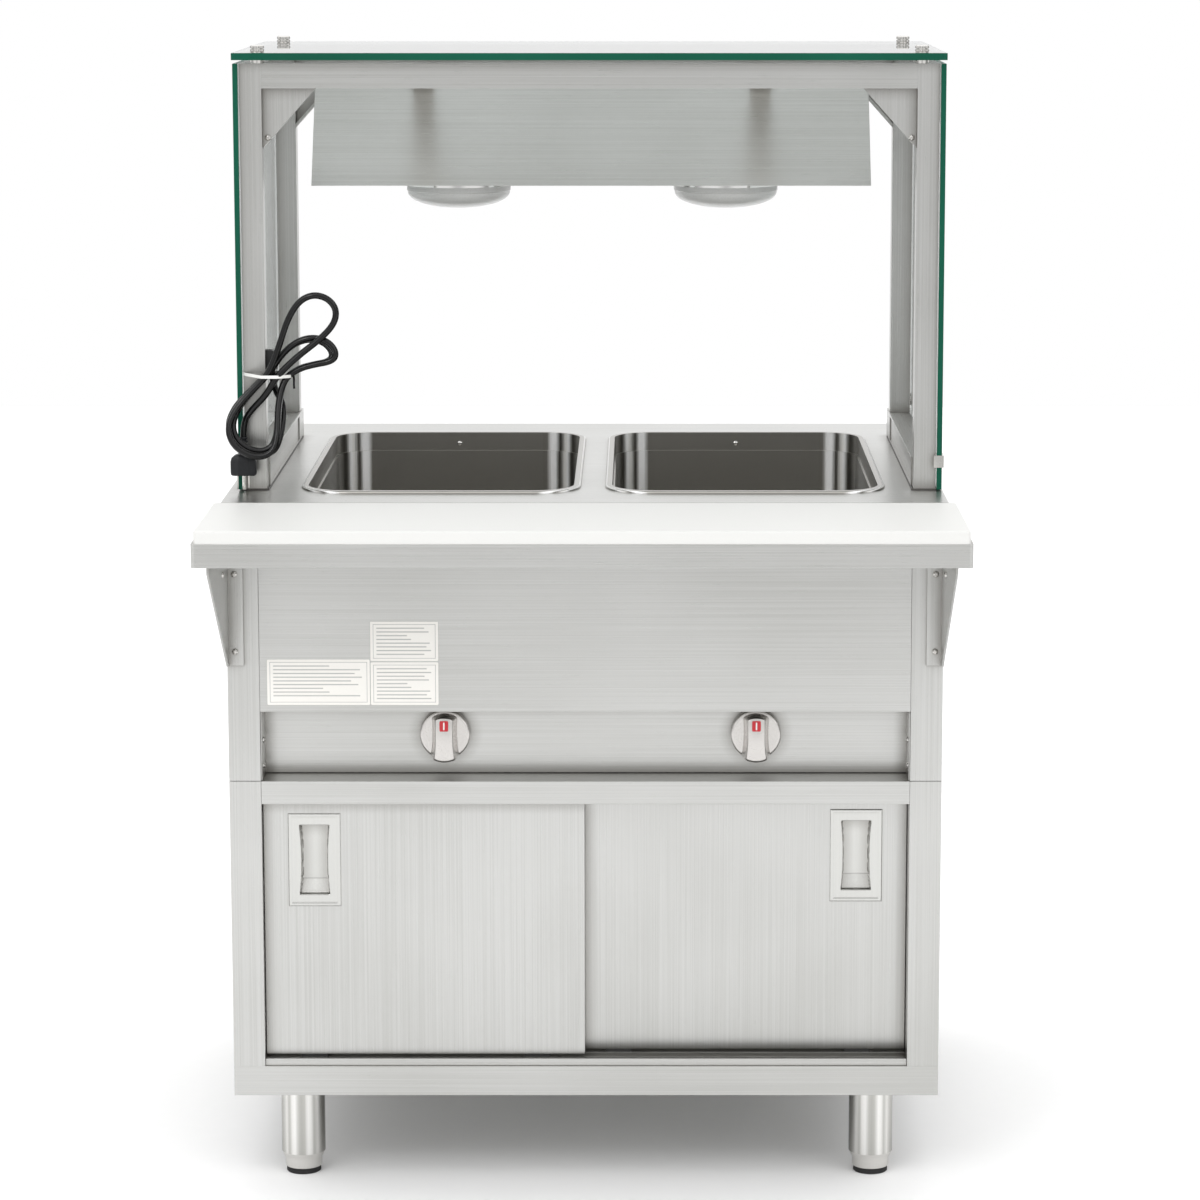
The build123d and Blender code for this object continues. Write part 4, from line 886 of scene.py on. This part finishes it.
def panHead(bm, centre, axis):
    # domed pan head with a crossed recess, its foot at centre
    s = screwShape
    axis = Vector(axis).normalized()
    side = axis.orthogonal().normalized()
    other = axis.cross(side)
    segments, rows = 32, 10
    rings = []
    for row in range(rows + 1):
        share = row / rows
        ring = []
        for a, b in circle(s["radius"] * share, segments if row else 1):
            rise = s["rise"] * (1 - share ** s["dome"])
            if min(abs(a), abs(b)) < s["crossWide"] and max(abs(a), abs(b)) < s["cross"]:
                rise -= s["crossDeep"]
            ring.append(bm.verts.new(centre + (side * a + other * b + axis * max(rise, 0)) * mm))
        rings.append(ring)
    layFaces(bm, rings)
    bm.faces.new(rings[-1])


screwPlaces = {
    "flangeX": 396.5,
    "flangeFace": -2.5,
    "flangeHeights": (718.0, 629.0),
    "plateX": 403.5,
    "plateSpot": (-60.0, 727.0),
    "wallX": 368.5,
    "wallSpots": ((20.0, 492.6), (20.0, 522.6)),
    "gussetX": 365.8,
    "gussetHeight": 1203.5,
    "gussetFront": 104.0,
    "gussetRear": 547.0,
}


def makeScrews():
    s = screwPlaces
    bm = bmesh.new()
    for side in (-1, 1):
        for height in s["flangeHeights"]:
            panHead(bm, place(side * s["flangeX"], s["flangeFace"], height), (0, -1, 0))
        panHead(bm, place(side * s["plateX"], *s["plateSpot"]), (-side, 0, 0))
        for spot in s["wallSpots"]:
            panHead(bm, place(side * s["wallX"], *spot), (-side, 0, 0))
        x = guardMiddle + side * s["gussetX"]
        panHead(bm, place(x, s["gussetFront"], s["gussetHeight"]), (0, -1, 0))
        panHead(bm, place(x, s["gussetRear"], s["gussetHeight"]), (0, 1, 0))
    finishPiece(bm, "panHeadScrews", [polishedSteel], "screw_heads", 40)


fixingShape = {
    "post": 396.8,
    "spacer": 1.0,
    "glass": 6.0,
    "head": 3.0,
    "radius": 7.5,
    "neck": 3.7,                # in the glass's hole
    "spots": ((106.5, 834.0), (544.5, 850.0), (325.5, 1273.5)),
    "pinX": 377.0,
    "pinSetBacks": (106.5, 440.0),
    "pinFoot": 1287.5,
    "pinGlassFoot": 1292.0,
    "pinGlassTop": 1300.0,
    "pinHead": 8.0,
    "pinRadius": 8.0,
    "pinNeck": 4.0,
    "serrations": 24,
    "serrationDepth": 0.035,    # share of the radius
    "clampWall": 2.0,
    "clampLap": 2.5,
    "clampRound": 0.4,
    # nose, glass edge, post and end
    "clampSetBacks": (86.0, 88.0, 94.0, 114.0),
    "clampHeights": (827.0, 841.0),
    "hairline": 0.02,           # keeps touching faces apart
}


def edgeClamp(bm, side):
    # wraps the front edge of a side pane and laps onto the post
    s = fixingShape
    nose, edge, post, end = s["clampSetBacks"]
    inner = s["spacer"]
    outer = inner + s["glass"]
    reach = outer + s["clampWall"]
    gap = s["hairline"]
    lap = -s["clampLap"]
    outline = [(lap, nose), (reach, nose), (reach, end), (outer, end), (outer, edge)]
    outline += [(inner, edge), (inner, end), (gap, end), (gap, post - gap), (lap, post - gap)]
    low, high = s["clampHeights"]
    foot = guardMiddle + side * s["post"]
    rings = [[bm.verts.new(place(foot + side * x, t, z)) for x, t in outline] for z in (low, high)]
    before = set(bm.edges)
    joinRings(bm, rings)
    # all its edges but the short ones between post and pane
    rims = [line for line in bm.edges if line not in before and line.calc_length() > 1.5 * mm]
    bmesh.ops.bevel(bm, geom=rims, offset=s["clampRound"] * mm, segments=2, affect="EDGES")


def makeFixings():
    s = fixingShape
    bm = bmesh.new()
    for side in (-1, 1):
        for t, z in s["spots"]:
            post = place(guardMiddle + side * s["post"], t, z)
            pane = s["spacer"]
            face = pane + s["glass"]
            radius, neck = s["radius"], s["neck"]
            foot, end = s["hairline"], face + s["head"]
            profile = [(0.0, foot), (radius, foot), (radius, pane), (neck, pane), (neck, face)]
            profile += [(radius, face), (radius, end - 1.0), (radius - 0.9, end - 0.15)]
            profile += [(2.2, end), (2.0, end - 1.0), (0.0, end - 1.0)]
            turnedRings(bm, profile, post, (side, 0, 0), 40)
        edgeClamp(bm, side)

    def serrated(angle, step):
        # grooves round the two thick rings of a pin's head
        wave = s["serrationDepth"] * math.cos(angle * s["serrations"])
        return 1 + wave if step in (8, 9, 12, 13) else 1.0

    foot, radius, neck = s["hairline"], s["pinRadius"], s["pinNeck"]
    low, top = s["pinGlassFoot"] - s["pinFoot"], s["pinGlassTop"] - s["pinFoot"]
    end, rim, groove = top + s["pinHead"], radius - 0.3, radius - 1.0
    for side in (-1, 1):
        for t in s["pinSetBacks"]:
            profile = [(0.0, foot), (radius, foot), (radius, low), (neck, low), (neck, top)]
            profile += [(radius, top), (radius, top + 0.6), (radius - 0.7, top + 0.9)]
            profile += [(rim, top + 1.1), (rim, top + 3.1), (groove, top + 3.4)]
            profile += [(groove, top + 4.2), (rim, top + 4.5), (rim, end - 1.2)]
            profile += [(radius - 1.2, end - 0.1), (2.0, end), (0.0, end)]
            spot = place(guardMiddle + side * s["pinX"], t, s["pinFoot"])
            turnedRings(bm, profile, spot, (0, 0, 1), 96, ripple=serrated)
    finishPiece(bm, "glassStuds", [polishedSteel], "glass_fixings")


makeScrews()
makeFixings()
print("fasteners made")


# Heat lamps: pressed glass dome, bright reflector and screw cap

lampShape = {
    "setBack": 325.5,
    "pitch": 319.0,
    "bottom": 1108.0,
    "radius": 62.0,
    "dome": 20.0,
    "domeFit": 0.985,      # share of the radius that the glass takes up
    "domePower": 0.9,      # powers that round the glass and the reflector
    "flarePower": 0.8,
    "band": 7.0,
    "neckRadius": 17.0,
    "neckHeight": 106.0,
    "capRadius": 13.0,
    "capLength": 26.0,
    "threads": 5,
    "threadDepth": 0.9,
}


def makeLamps():
    s = lampShape
    steps = 16
    glass = []
    for step in range(steps + 1):
        angle = math.pi / 2 * step / steps
        radius = s["radius"] * math.sin(angle) * s["domeFit"]
        glass.append((radius, s["dome"] * (1 - math.cos(angle) ** s["domePower"])))
    glass.append((s["radius"], s["dome"] + 1.2))
    shoulder = s["dome"] + s["band"]
    coated = [(s["radius"], shoulder)]
    for step in range(1, 13):
        share = step / 12
        flare = math.cos(math.pi / 2 * share) ** s["flarePower"]
        radius = s["neckRadius"] + (s["radius"] - s["neckRadius"]) * flare
        coated.append((radius, shoulder + (s["neckHeight"] - shoulder) * share))
    cap = [(s["capRadius"], s["neckHeight"] + 0.5)]
    pitch = s["capLength"] / (s["threads"] * 2 + 1)
    for thread in range(s["threads"] * 2):
        radius = s["capRadius"] - (s["threadDepth"] if thread % 2 else 0.0)
        cap.append((radius, s["neckHeight"] + 1.0 + pitch * (thread + 0.5)))
    end = s["neckHeight"] + s["capLength"]
    cap += [(s["capRadius"] - 3, end - 1.5), (0.0, end)]
    profile = glass + coated + cap
    slots = [0] * len(glass) + [1] * len(coated) + [2] * len(cap)
    finishes = [pressedGlass, silverCoat, lampCap]
    for name, side in (("left", -1), ("right", 1)):
        bm = bmesh.new()
        spot = place(guardMiddle + side * s["pitch"] / 2, s["setBack"], s["bottom"])
        turnedRings(bm, profile, spot, (0, 0, 1), 96, slots)
        replaced = "heat_lamps" if side < 0 else None    # that node holds both lamps
        finishPiece(bm, name + "ReflectorLamp", finishes, replaced, 30)


makeLamps()
print("lamps made")


# Labels on the fascia, and the rivet in each well's rear wall

labelShape = {
    "thick": 0.25,
    "ink": 0.06,
    "sheets": [
        (-361.2, -244.5, 566.9, 619.6),
        (-243.6, -166.6, 566.9, 616.4),
        (-243.6, -166.6, 617.6, 663.2),
    ],
    "corner": 1.5,
    "border": 3.0,       # set-in of the printed frame
    "frameLine": 0.6,
    "row": 1.2,
    "rowPitch": 4.3,
    "rowShares": (0.62, 0.96, 0.9, 0.98, 0.86, 0.94, 0.55),
    "margin": 7.0,
}


def upright(bm, outline, front, back, slot=0):
    # flat sheet between two set-backs
    rings = [[bm.verts.new(place(x, t, z)) for x, z in outline] for t in (front, back)]
    joinRings(bm, rings, slot)


def inkStrip(bm, left, right, low, high):
    corners = [(left, low), (right, low), (right, high), (left, high)]
    face = -labelShape["thick"]
    upright(bm, corners, face - labelShape["ink"], face + 0.05, 1)


def makeLabels():
    # blank off-white film with a printed frame and plain ruled lines
    s = labelShape
    for count, (left, right, low, high) in enumerate(s["sheets"]):
        r = s["corner"]
        x0, x1, z0, z1 = left + r, right - r, low + r, high - r
        outline = []
        for quarter, (x, z) in enumerate(((x1, z1), (x0, z1), (x0, z0), (x1, z0))):
            for step in range(5):
                angle = math.radians(90 * quarter + 22.5 * step)
                outline.append((x + r * math.cos(angle), z + r * math.sin(angle)))
        bm = bmesh.new()
        upright(bm, outline, -s["thick"], -0.02)
        x0, x1 = left + s["border"], right - s["border"]
        z0, z1 = low + s["border"], high - s["border"]
        line = s["frameLine"]
        for strip in (
            (x0, x1, z0, z0 + line), (x0, x1, z1 - line, z1),
            (x0, x0 + line, z0, z1), (x1 - line, x1, z0, z1),
        ):
            inkStrip(bm, *strip)
        start, height, row = left + s["margin"], high - s["margin"], 0
        shares = s["rowShares"]
        while height - s["row"] > low + s["margin"] - 1:
            width = (right - left - 2 * s["margin"]) * shares[(row + 2 * count) % len(shares)]
            inkStrip(bm, start, start + width, height - s["row"], height)
            height -= s["rowPitch"]
            row += 1
        finishPiece(bm, "fasciaLabel%d" % (count + 1), [labelVinyl, labelInk])


rivetShape = {
    "middles": (-167.5, 183.5),
    "setBack": 579.0,
    "height": 789.0,
    "radius": 3.2,
    "rise": 1.4,
}


def makeRivets():
    s = rivetShape
    bm = bmesh.new()
    profile = [(s["radius"] * a, s["rise"] * b) for a, b in circle(1.0, 24)[:6]]
    profile.append((0.0, s["rise"]))
    for x in s["middles"]:
        turnedRings(bm, profile, place(x, s["setBack"], s["height"]), (0, -1, 0), 24)
    finishPiece(bm, "wellRivets", [polishedSteel], sharpAngle=60)


footShadowShape = {
    "top": 801.8,
    "low": 800.02,
    "proud": 1.0,
    "railInner": 370.3,
    "front": 94.0,       # set-backs of the guard's foot
    "rear": 557.0,
}


def makeFootShadowStrips():
    # dark strip along the joint between the guard's foot and the worktop: a painted shadow of the
    # gap
    s = footShadowShape
    bm = bmesh.new()
    front, rear = s["front"] - s["proud"], s["rear"] + s["proud"]
    for side in (-1, 1):
        outer = guardMiddle + side * (fixingShape["post"] + s["proud"])
        inner = guardMiddle + side * (s["railInner"] - s["proud"])
        lip = s["proud"] * 0.8
        rings = []
        for z, inset in ((s["low"], 0.0), (s["top"] - 0.6, 0.25), (s["top"], lip)):
            a, b = outer - side * inset, inner + side * inset
            rings.append([bm.verts.new(place(x, t, z)) for x, t in (
                (a, front + inset), (b, front + inset), (b, rear - inset), (a, rear - inset)
            )])
        joinRings(bm, rings)
    finishPiece(bm, "guardFootShadowStrips", [gapShadowPaint])


makeLabels()
makeRivets()
makeFootShadowStrips()
print("labels, rivets and seals made")


# Floor and light

studio = {
    "floorSize": 14.0,     # m
    "floorFront": 4.0,     # m, where the paper ends before the object
    "backdrop": 1.0,       # what the camera sees behind the object
    "zenith": 1.45,        # large soft box overhead
    "front": 0.78,
    "quarter": 1.25,       # soft boxes on both sides of the camera
    "left": 0.65,
    "right": 0.45,
    "behind": 1.12,
    "below": 0.5,
    "horizon": 0.82,       # share of the light that is left in the lowest few degrees
    # place and width in m, and power in W
    "lights": {
        "keyLight": ((-2.0, -3.0, 3.6), 2.4, 20.0),
        "fillLight": ((2.6, -2.8, 2.4), 2.0, 10.0),
        "glintLight": ((-1.2, -3.2, 2.6), 0.35, 6.0),    # small, for glints on round pieces
    },
    "aim": (0, 0, 0.7),    # m
}


def skyRing(tree, direction):
    # brightness round the horizon: 0 and 1 lie behind the object, 0.25 right, 0.5 in front
    s = studio
    flat = addNode(tree, "SeparateXYZ", links={"Vector": direction})
    level = {0: flat.outputs["X"], 1: flat.outputs["Y"]}
    angle = addNode(tree, "Math", links=level, operation="ARCTAN2")
    halfTurn = {"From Min": -math.pi, "From Max": math.pi, "To Min": -0.5, "To Max": 0.5}
    turn = addNode(tree, "MapRange", halfTurn, {"Value": angle.outputs[0]})
    whole = addNode(tree, "Math", {1: 1.0}, {0: turn.outputs[0]}, operation="FLOORED_MODULO")
    ring = addNode(tree, "ValToRGB", links={"Fac": whole.outputs[0]})
    stops = [
        (0.0, "behind"), (0.14, "behind"), (0.24, "right"), (0.31, "right"), (0.37, "quarter"),
        (0.44, "quarter"), (0.5, "front"), (0.56, "quarter"), (0.63, "quarter"), (0.69, "left"),
        (0.76, "left"), (0.86, "behind"), (1.0, "behind"),
    ]
    ring.color_ramp.interpolation = "EASE"
    setStops(ring, [(spot, (s[part] / 2, s[part] / 2, s[part] / 2, 1.0)) for spot, part in stops])
    double = addNode(tree, "Math", {1: 2.0}, {0: ring.outputs["Color"]}, operation="MULTIPLY")
    return flat, double


def makeStudio():
    s = studio
    half, near = s["floorSize"] / 2, s["floorFront"]
    mesh = bpy.data.meshes.new("studioFloor")
    corners = [(-half, -near, 0), (half, -near, 0), (half, half, 0), (-half, half, 0)]
    mesh.from_pydata(corners, [], [(0, 1, 2, 3)])
    floor = addObject("studioFloor", mesh)
    floor.data.materials.append(speckled("studioPaper", "#f8f8f8", "#f6f6f6", 0.9, 20.0, 0.0))
    world = bpy.data.worlds.new("studioSky")
    world.use_nodes = True
    tree = world.node_tree
    coords = addNode(tree, "TexCoord")
    flat, ring = skyRing(tree, coords.outputs["Generated"])
    # from, to and least share of three changes over the sine of the height
    shares = []
    for first, last, least in ((0.25, 0.75, 0.0), (-0.05, -0.4, 0.0), (0.05, 0.12, s["horizon"])):
        shares.append(addNode(
            tree, "MapRange", {"From Min": first, "From Max": last, "To Min": least},
            {"Value": flat.outputs["Z"]}, interpolation_type="SMOOTHSTEP",
        ).outputs[0])
    rise, drop, dim = shares
    level = addNode(tree, "Math", links={0: ring.outputs[0], 1: dim}, operation="MULTIPLY")
    upper = addNode(tree, "Mix", {3: s["zenith"]}, {0: rise, 2: level.outputs[0]})
    lower = addNode(tree, "Mix", {3: s["below"]}, {0: drop, 2: upper.outputs[0]})
    path = addNode(tree, "LightPath")
    direct = {0: path.outputs["Is Camera Ray"], 1: path.outputs["Is Transmission Ray"]}
    seen = addNode(tree, "Math", links=direct, operation="MAXIMUM")
    level = addNode(tree, "Mix", {3: s["backdrop"]}, {0: seen.outputs[0], 2: lower.outputs[0]})
    tree.links.new(level.outputs[0], tree.nodes["Background"].inputs["Strength"])
    tree.nodes["Background"].inputs["Color"].default_value = (1.0, 1.0, 1.0, 1.0)
    bpy.context.scene.world = world
    bpy.context.scene.view_settings.view_transform = "Standard"
    for name, (spot, size, energy) in s["lights"].items():
        data = bpy.data.lights.new(name, "AREA")
        data.size = size
        data.energy = energy
        light = addObject(name, data)
        light.location = spot
        aim = Vector(s["aim"]) - light.location
        light.rotation_euler = aim.to_track_quat("-Z", "Y").to_euler()
    print("studio lit")


makeStudio()
